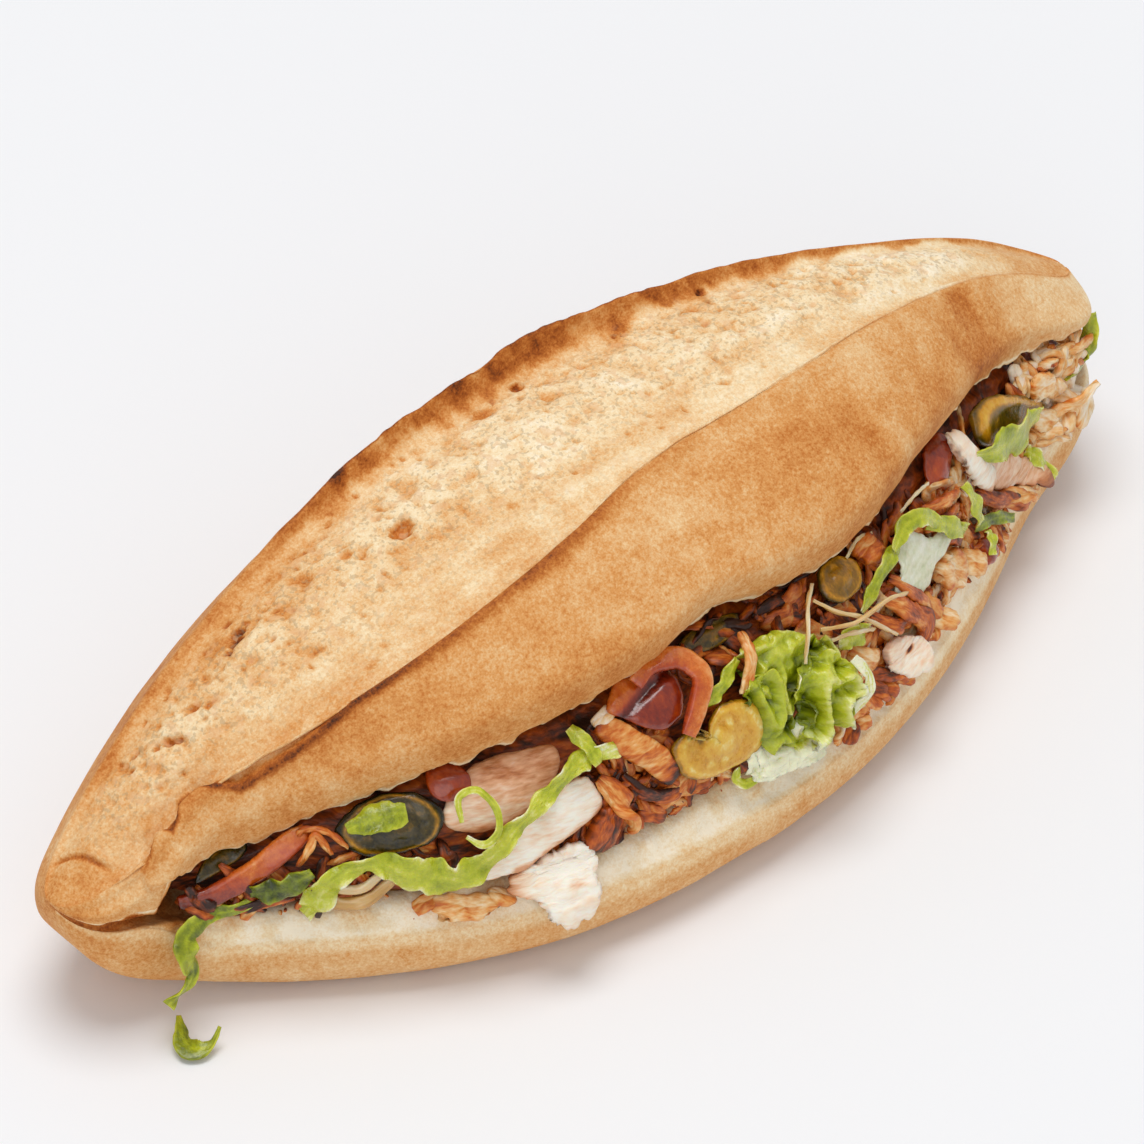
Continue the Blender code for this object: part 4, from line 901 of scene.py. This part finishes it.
# The rosy piece at the right of the leaf carries one charred speck.
shape = cutout(((39, 3.5), (43, 4.5), (47, 1), (50, -5), (47, -8), (42, -6.5), (38.5, -2)), 4.6, 2.8,
               ROSY_GRID, 181, 0.30)
place = shape[2]
tone = 0.17 + 0.10 * rough(place, 3.0, 183)
tone = tone + 0.3 * rim_of(*unit_grid(*ROSY_GRID), 5) * np.clip(lumps(place, 4.0, 185), 0, 1)
tone = tone + 1.2 * hump(0.0, 1.2, np.hypot(place[..., 0] - 0.3, 1.5 * (place[..., 1] - 0.6)))
lay("meat_rosy", shape, tone, chicken, "meat", "doner_meat")


# ======================================================================= lettuce
# Iceberg and curly lettuce, shredded and torn: crisp wet leaf, pale along the ribs and cut edges
# and thin enough for light to pass, painted lighter on the crests of its folds and darker in the
# troughs: painted light and shade.

# Lettuce: a waxy wet leaf, yellow-green where it is thin and cream on its ribs.
lettuce = food("lettuce_leaf", ((0.0, "#2F3A06"), (1.0, "#F4F0CC"), (0.25, "#6C780A"), (0.50, "#A4AE12"),
                                (0.72, "#C6CA34"), (0.88, "#DEDC80")),
               ((1.2, 0.20), (0.4, 0.10)), (0.34, 0.24), bumps=((0.9, 0.3), (2.5, 0.35)), soft=0.25,
               soft_mm=1.5, coat=0.3)
PALE = ("lettuce_loop", "lettuce_shred_2", "lettuce_shred_4", "lettuce_shred_6")
STRIP_COLUMNS = 17


def along_face(places):
    """Control points and outward directions on the face, for one strip of places (x, v, lift)."""
    px, pv, lift = np.array(places, float).T
    centre, _, _, out = face_frame(px, pv)
    return centre + out * lift[:, None], out


def lettuce_strip(name, route, outs, width, rows, ruffle, waves, seed, shade, widths=(1.0, 1.0), taper=0.35,
                  node_name=""):
    """One shred of lettuce: a ruffled strip, pale on its rib and edges, with painted light on the crests of
    its ripples and painted shade in their troughs.
    """
    grid = (rows, STRIP_COLUMNS)
    shape = strips(np.array(route)[:, None], np.array(outs)[:, None], width, 0.55, grid, seed, ruffle, waves,
                   taper, 0.35, widths)
    p, q = unit_grid(*grid)
    tone = shade + 0.18 * rough(shape[2], 3.0, seed + 1) + 0.20 * rim_of(p, q, 5) + 0.12 * hump(0.0, 0.2, q)
    # Painted light and shade follow the ripples: lighter on their crests, darker in their troughs.
    tone = tone + 0.12 * np.sin(waves * math.pi * p + 1.3 * q) * np.abs(q)
    lay(name, shape, tone, lettuce, "lettuce_rib" if name in PALE else "lettuce", node_name or name)


# One shred hangs over the base's edge and one lies on the table.
route, outs = along_face(((-101, 3.2, 2.2), (-105, 1.4, 2.6), (-109.5, 0.2, 2.8)))
route = [*route, (-115.7, -18.2, 24.6), (-117.8, -20.2, 20.8), (-117.0, -21.0, 16.7), (-120.3, -21.0, 13.7),
         (-123.2, -20.6, 11.5)]
outs = [*outs, (-0.1, -0.8, 0.6), (0.2, -1.0, 0.2), (-0.1, -1.0, 0.1), (0.2, -1.0, 0.0), (0.0, -1.0, 0.2)]
lettuce_strip("lettuce_hanging", route, outs, 3.6, 110, 0.7, 4.0, 151, 0.34,
              (0.7, 0.9, 0.8, 1.1, 1.6, 1.3, 0.55, 0.9, 1.0))
route = ((-118.5, -17.8, 3.6), (-121.3, -22.5, 2.2), (-120.7, -26.2, 1.9), (-117.9, -27.3, 2.4),
         (-115.1, -26.6, 5.0))
lettuce_strip("lettuce_fallen", route, [(0.0, -0.2, 1.0)] * len(route), 5.0, 70, 0.4, 1.5, 157, 0.34,
              (0.3, 0.8, 1.05, 0.7, 0.3, 0.2))

# (name, width, rows, ruffle, waves, shade, widths along it, places (x, v, lift) along it).
SHREDS = (
    ("lettuce_long", 7, 170, 1.2, 9, 0.60,
     (0.8, 1.15, 0.9, 0.5, 0.8, 1.15, 1.1, 0.8, 0.6, 0.55, 0.6, 0.75, 0.6), ((-93.5, -1, 2.4),
     (-90.5, 3, 3.4), (-87, 7.5, 4.6), (-80, 10, 5.2), (-74, 7.5, 5.2), (-67, 5, 5.4), (-61, 7.5, 6),
     (-54, 12.5, 6.6), (-46, 17, 6.6), (-38, 20, 6.4), (-30.5, 19.5, 6))),
    ("lettuce_curl", 4.6, 50, 1, 2.5, 0.14, (0.8, 1, 1, 0.7), ((-101, 5.5, 3.4), (-95.5, 6.2, 4.6),
     (-90, 9.5, 5.2))),
    ("lettuce_patch", 5.4, 60, -1.3, 0.6, 0.40, (0.5, 1, 1.1, 1), ((-82, 16.5, 4.8), (-76.5, 17.8, 6),
     (-71.5, 18.4, 5.6))),
    ("lettuce_loop", 1.5, 90, 0.2, 3, 0.62, (1, 1), ((-63.5, 16, 7.6), (-62.5, 19.5, 8), (-59, 20, 8.2),
     (-57, 17.5, 8.4), (-58, 13.5, 8.6), (-61, 11.5, 8.4), (-63.5, 13.5, 7.8))),
    ("lettuce_right", 7.5, 80, 0.9, 2.5, 0.50, (0.3, 0.6, 1, 1.2, 1.1, 0.6), ((80, 19, 5.4), (86, 16.5, 6.2),
     (93, 14.5, 7), (100, 12.5, 7), (106, 11.5, 6.2))),
    ("lettuce_shred_1", 3.6, 60, 0.5, 2, 0.50, (0.7, 1, 0.9), ((35, 15.5, 4), (40, 18, 5.2), (46, 19.5, 5.4),
     (50, 19.5, 4.6))),
    ("lettuce_shred_2", 3.8, 60, 0.5, 2, 0.56, (0.7, 1, 1), ((47, 20, 6.2), (52, 21.2, 7.2), (57, 21, 7.2),
     (61, 18, 6.2))),
    ("lettuce_shred_3", 4, 60, 0.5, 2, 0.52, (0.8, 1, 0.8), ((59, 19, 5), (63, 16.5, 6), (67, 12, 6),
     (72, 8.5, 5))),
    ("lettuce_shred_4", 3.6, 60, 0.5, 2, 0.56, (0.7, 1, 0.9), ((73, 18, 5.4), (74, 14, 6.4), (75, 9.5, 6.4),
     (76.5, 5.5, 5.4))),
    ("lettuce_shred_5", 4.4, 40, 0.8, 2, 0.56, (0.8, 1.1, 0.7), ((26, 13.5, 4.6), (30, 13.5, 5.6),
     (35, 12, 4.6))),
    ("lettuce_shred_6", 3.6, 50, 0.8, 2.5, 0.60, (0.8, 1, 0.6), ((102, 1.5, 3.8), (104, -3, 4.8),
     (107, -8, 3.8))),
    ("lettuce_shred_7", 3, 50, 0.6, 2.5, 0.50, (0.7, 1, 0.8), ((-8.5, 18.5, 3.6), (-4, 20.5, 4.8),
     (2, 23.5, 4.2))))
for k, (name, width, rows, ruffle, waves, shade, widths, places) in enumerate(SHREDS):
    lettuce_strip(name, *along_face(places), width, rows, ruffle, waves, 163 + 3 * k, shade, widths)

# Side bits: the long shred's forked end, slivers at the right, and the lower leaf's curled tip,
# each as (name, the node that it goes with, width, shade, places).
SLIVERS = (
    ("lettuce_fork", "lettuce_long", 3.6, 0.58, ((-35.5, 18.5, 6.6), (-36, 21.5, 7), (-37.5, 24.5, 6.2))),
    ("lettuce_sliver", "lettuce_shred_4", 2.8, 0.20, ((77, 4, 4), (83.5, 0, 5), (90, -6, 4))),
    ("lettuce_yellow", "lettuce_shred_4", 2.4, 0.66, ((80, 0, 4.6), (80, -3, 5.2), (79, -6, 4))),
    ("lettuce_tip_curl", "lettuce_leaf_3", 1.9, 0.55, ((1, -3, 3.6), (-3.5, -3.4, 3.6), (-5.5, 0, 4),
     (-4.5, 3.5, 4.2))))
for k, (name, owner, width, shade, places) in enumerate(SLIVERS):
    lettuce_strip(name, *along_face(places), width, 50, 0.4, 2.0, 403 + 3 * k, shade, node_name=owner)
# The tip at the right end stands up past the meat.
route, outs = along_face(((120, 9, 2.6), (126.5, 9.5, 2.8)))
route, outs = [*route, (129.8, -15.0, 35.0), (131.6, -13.0, 41.0)], [*outs, *[(-0.4, -0.7, 0.6)] * 2]
lettuce_strip("lettuce_tip", route, outs, 5.4, 70, 0.9, 2.0, 199, 0.44, (0.4, 0.5, 0.6, 0.8), 0.25)

# The clump of curly leaf at the middle: torn leaves crumpled into deep sharp folds, as (name, the
# node that it goes with, lift, depth of the folds, shade, stiffness, outline (x, v)).
LEAVES = (
    ("lettuce_leaf_1", "lettuce_leaf_1", 5, 2.2, 0.40, 0.7, ((2, 20), (4, 24.5), (12, 24), (19, 20),
     (25, 15), (20, 11), (12, 9), (4, 12))),
    ("lettuce_leaf_2", "lettuce_leaf_2", 8.4, 2.4, 0.50, 0.8, ((11, 14), (18, 17.5), (25, 13), (26.5, 7),
     (22.5, 0), (16, -2), (11, 3))),
    ("lettuce_leaf_3", "lettuce_leaf_3", 4.2, 1.2, 0.84, 0.5, ((1, 6), (8, 5), (16, 0.5), (17, -4),
     (12, -5.8), (5, -4.5), (-2, -2.5), (-3, 2.5))),
    ("lettuce_leaf_4", "lettuce_leaf_1", 6.4, 2, 0.28, 0.7, ((0, 18), (4, 20.5), (9, 17), (11, 8), (8, 2.5),
     (3, 4), (0, 10))))
LEAF_GRID = (84, 68)
p, q = unit_grid(*LEAF_GRID)
for k, (name, owner, lift, height, shade, stiff, outline) in enumerate(LEAVES):
    middle, thick, place = cutout(outline, lift, 0.5, LEAF_GRID, 211 + 11 * k, 0.20, -1.0, 0.0, stiff)
    folds = 1.0 - 2.4 * np.abs(lumps(place, 4.6, 213 + k))
    frills = 1.0 - 2.2 * np.abs(rough(place, 2.4, 223 + k, 2))
    away = -outward(middle)
    away = away * np.sign(np.mean(away @ (0.0, -0.6, 0.8)))
    rise = 1.15 * height * (folds - 0.3) + frills * (0.4 + 0.6 * rim_of(p, q, 2))
    # Each leaf is painted lighter on its raised folds and frills and darker in the troughs between them:
    # painted light and shade.
    tone = shade - 0.10 + 0.32 * folds + 0.18 * frills
    tone = tone + 0.14 * rim_of(p, q, 7) + 0.05 * rough(place, 6.0, 229 + k)
    lay(name, (middle + away * rise[..., None], thick, place), tone, lettuce, "lettuce", owner)
# A stiff white rib closes the clump on the right.
route, outs = along_face(((24.5, 12.5, 9.6), (26.5, 8.5, 10.4), (25.5, 4.5, 10.4), (21.5, 0, 8.8)))
lettuce_strip("lettuce_rib_edge", route, outs, 2.6, 60, 0.4, 2.0, 433, 0.95, node_name="lettuce_leaf_2")


# ======================================================================= vegetables
# Tomato in strips and wedges, cucumber, pickled cucumber, onion and cabbage, all cut and wet.

# Ripe tomato: a smooth red skin round orange flesh, wet with its own juice.
tomato = food("ripe_tomato", ((0.0, "#3A0805"), (1.0, "#EEB06C"), (0.3, "#86260A"), (0.55, "#B8480E"),
                              (0.78, "#D6721E")),
              ((1.4, 0.20), (0.5, 0.10)), (0.2, 0.3), bumps=((1.2, 0.2),), soft=0.25, soft_mm=2.5, coat=0.7)
# Pickled cucumber: translucent yellow flesh with a dull olive skin, glossy with brine.
pickle = food("pickled_cucumber", ((0.0, "#1C1905"), (1.0, "#F0DE98"), (0.22, "#4F400C"), (0.45, "#94690C"),
                                   (0.65, "#D29414"), (0.85, "#E4B640")),
              ((1.6, 0.20), (0.5, 0.12)), (0.22, 0.3), bumps=((1.6, 0.3),), soft=0.3, soft_mm=3.0, coat=0.4)
# Onion and cabbage: watery layers, nearly white, with fine lines along them.
onion = food("raw_onion", ((0.0, "#8A5A34"), (1.0, "#FFF6E2"), (0.4, "#CFA25A"), (0.7, "#EAD0A2")),
             ((1.0, 0.25),), (0.2, 0.35), bumps=((0.7, 0.2),), stretch=(6.0, 1.0, 1.0), soft=0.4,
             soft_mm=2.0, coat=0.5)
cabbage = food("white_cabbage", ((0.0, "#7C8A48"), (1.0, "#FBF8E6"), (0.35, "#B9BE84"), (0.65, "#DEDCBA")),
               ((1.0, 0.25),), (0.3, 0.4), bumps=((0.9, 0.25),), soft=0.35, soft_mm=2.0, coat=0.4)

# (name, the node that it goes with, width, thickness, rows, ruffle, shade, places (x, v, lift)).
STRIPS = (
    ("tomato_left", "tomato_left", 4.8, 2, 80, 0.4, 0.66, ((-114, 3, 1.4), (-107, 5.5, 2.4), (-99, 9.5, 2.6),
     (-92, 14, 2.6), (-88, 16.5, 2.2))),
    ("tomato_arc", "tomato_arc", 4.6, 2.2, 90, 0.2, 0.70, ((-21, 26.5, 7), (-15.5, 28, 7.4),
     (-10, 27.5, 7.6), (-8, 24.5, 7.8), (-11.5, 20.5, 7.8), (-16, 16.5, 7.6))),
    ("onion_ring", "onion_ring", 2.8, 1.4, 60, 0.2, 0.42, ((-89.5, 3.5, 2), (-87, 1, 2.8), (-82, 1.6, 3),
     (-76.5, 6, 2.4))),
    ("onion_inner", "onion_ring", 2, 1.2, 60, 0.2, 0.62, ((-87, 4.5, 2.4), (-83, 4.6, 3.2),
     (-78, 7.6, 2.8))),
    ("onion_strand_1", "onion_strand_1", 0.85, 0.7, 70, 0.2, 0.52, ((23, 23, 6.4), (26, 20, 7.4),
     (31, 17, 7.6), (36, 12, 7.4), (41, 7, 6.4))),
    ("onion_strand_2", "onion_strand_2", 0.85, 0.7, 60, 0.2, 0.60, ((23, 16.5, 6.2), (29, 15, 7),
     (35, 12, 6.4))),
    ("onion_strand_3", "onion_strand_3", 0.85, 0.7, 70, 0.2, 0.46, ((21, 19.5, 7.2), (29, 17, 8.4),
     (38, 16.5, 8.6), (45, 14, 7.8))),
    ("onion_cross", "onion_strand_1", 0.85, 0.7, 60, 0.2, 0.66, ((25, 24.5, 6.6), (21, 23.5, 7.6),
     (17, 20, 7.6), (15, 16, 6.6))),
    ("onion_thin", "onion_strand_2", 0.7, 0.5, 50, 0.2, 0.66, ((38, 23.5, 4), (43, 24.2, 4.6),
     (47, 23.4, 4))),
    ("onion_far", "onion_strand_3", 0.7, 0.5, 50, 0.2, 0.70, ((55, 22.6, 5), (60, 23.4, 5.6), (64, 23, 5))))
for k, (name, owner, width, thickness, rows, ruffle, shade, places) in enumerate(STRIPS):
    route, outs = along_face(places)
    grid = (rows, 13)
    shape = strips(route[:, None], outs[:, None], width, thickness, grid, 241 + k, ruffle, 2.0, 0.35, 0.12)
    p, q = unit_grid(*grid)
    tone = shade + 0.12 * rough(shape[2], 4.0, 251 + k) + 0.16 * q - 0.12 * rim_of(p, q, 8)
    if name == "tomato_left":
        tone = tone - 0.38 * ease(0.1, -0.7, p)
    kind = name.split("_")[0]
    lay(name, shape, tone, tomato if kind == "tomato" else onion, kind, owner)

# Slices and wedges: (name, material, slot, lift, thickness, shade, outline (x, v)).
ROUNDS = (
    ("tomato_wedge_1", tomato, "tomato", 3, 2.2, 0.42, ((-66, 21), (-64, 25), (-60, 25.5), (-58, 22.5),
     (-60, 19.5), (-64, 19))),
    ("tomato_wedge_2", tomato, "tomato", 4.8, 2.6, 0.34, ((-28, 25.5), (-21, 29.5), (-13, 30), (-11.5, 25),
     (-13.5, 20.5), (-18, 18.5), (-22, 20), (-26, 23))),
    ("tomato_wedge_3", tomato, "tomato", 2.4, 1.4, 0.44, ((67, 21), (70, 26), (77, 25.5), (78.5, 22),
     (75, 20.5), (72, 18.5))),
    ("tomato_wedge_4", tomato, "tomato", 2.4, 1.6, 0.40, ((76, -3), (80, -2), (84, -4.5), (83.5, -7),
     (80, -7.5), (76.5, -5.5))),
    # pickle_left and pickle_back are given dark shades as painted shade: one lies in the narrow gap at the
    # left, the other under the lid's edge.
    ("pickle_left", pickle, "pickle_skin", 1.2, 1.4, 0.20, ((-111, 9), (-105, 13), (-99.5, 16), (-98, 14.5),
     (-100.5, 11.8), (-106, 9.5))),
    ("pickle_middle", pickle, "pickle", 4.6, 2.2, 0.80, ((-18.5, 10.5), (-18, 14.5), (-13.5, 16),
     (-10.5, 13), (-8.5, 16), (-4.5, 17.5), (1, 15.5), (4, 10.8), (1.5, 6), (-4, 4.4), (-11, 5), (-16, 7))),
    ("pickle_back", pickle, "pickle_skin", 1.8, 1.6, 0.30, ((-7, 29.5), (-4, 31.3), (3, 31.5), (9, 29.8),
     (6, 27.4), (-2, 27.2))),
    ("pickle_far", pickle, "pickle", 3.4, 2, 0.54, ((28.5, 22.5), (31, 25.3), (36, 25.3), (40, 22.5),
     (39, 19.5), (34, 18.6), (30, 20))),
    ("pickle_right", pickle, "pickle_skin", 3.2, 2.4, 0.37, ((85, 21), (90, 21.5), (98, 18.5), (106, 14),
     (112, 8), (113, 3.5), (109, 3), (101, 7.5), (92, 12.5), (86, 17))),
    ("cucumber_left", pickle, "cucumber", 2.8, 2.2, 0.16, ((-84, 15.5), (-80, 19.5), (-73, 22),
     (-67.5, 20.5), (-65.5, 16.5), (-68.5, 12.5), (-74, 10.8), (-81, 11.3))),
    ("cabbage_leaf", cabbage, "cabbage", 4.6, 0.9, 0.62, ((46.5, 13), (49, 19.5), (54, 20.5), (60, 15.8),
     (68, 11.5), (66, 8.6), (60, 9.6), (56, 6.6), (51, 9))))
ROUND_GRID = (50, 44)
p, q = unit_grid(*ROUND_GRID)
radius = np.hypot(p * np.sqrt(1.0 - 0.5 * q * q), q * np.sqrt(1.0 - 0.5 * p * p))
for k, (name, material, slot, lift, thickness, shade, outline) in enumerate(ROUNDS):
    torn_edge = 0.24 if name in ("cabbage_leaf", "tomato_wedge_3", "tomato_wedge_4") else 0.05
    middle, thick, place = cutout(outline, lift, thickness, ROUND_GRID, 263 + 5 * k, torn_edge, -0.7,
                                  0.25 + 1.8 * torn_edge)
    tone = shade + (0.10 + 0.5 * torn_edge) * rough(place, 3.5, 271 + k)
    if material is pickle:
        seeds = hump(0.5, 0.14, radius) * np.clip(lumps(place, 1.6, 269 + k) * 2.2, 0.0, 1.0)
        tone = tone - 0.34 * ease(0.88, 0.97, radius) + 0.12 * hump(0.80, 0.05, radius) + 0.24 * seeds
        tone = tone - 0.10 * hump(0.55, 0.25, radius)
        thick = thick * (1.0 - 0.35 * hump(0.5, 0.2, radius))
    if name == "cucumber_left":
        tone = tone + 0.30 * hump(0.84, 0.04, radius)
    if name == "pickle_right":
        lit = ease(-1.0, 2.0, place[..., 1] + 0.4 * place[..., 0])
        tone = tone + ease(0.62, 0.80, radius) * (0.08 + 0.24 * lit)
    if name == "pickle_middle":
        hole = hump(0.0, 1.0, np.hypot(place[..., 0] + 3.8, place[..., 1] - 2.6))
        tone, thick = tone - 0.6 * hole, thick * (1.0 - 0.6 * hole)
    if name == "tomato_wedge_2":
        level = place[..., 1] - 0.25 * place[..., 0]
        tone = tone + 0.34 * ease(0.8, 2.4, level) - 0.3 * hump(1.2, 0.9, level)
        thick = thick * (1.0 - 0.75 * hump(1.2, 0.9, level))
    if material is cabbage:
        ribs = np.abs(np.sin(2.6 * np.arctan2(place[..., 1], place[..., 0] + 14.0) * 6.0))
        tone = tone + 0.14 * ribs + 0.12 * rough(place, 3.0, 299) - 0.05
    lay(name, (middle, thick, place), tone, material, slot, name)

# Crumbs of bread and meat that dropped on the ledge.
CRUMBS, CRUMB_GRID = 90, (5, 4)
along = draw.uniform(-98.0, 45.0, CRUMBS)
shape = slices(along, draw.uniform(-6.5, 0.5, CRUMBS), np.full(CRUMBS, -1.4), draw.uniform(0.6, 1.8, CRUMBS),
               draw.uniform(0.5, 1.1, CRUMBS), draw.uniform(0.0, math.pi, CRUMBS), np.zeros(CRUMBS),
               draw.uniform(0.4, 0.9, CRUMBS), np.zeros(CRUMBS), CRUMB_GRID, 301, 0.2)
lay("crumbs", shape, draw.uniform(0.25, 0.85, (CRUMBS, 1, 1)) + 0.0 * shape[1], meat, "meat", "doner_meat")
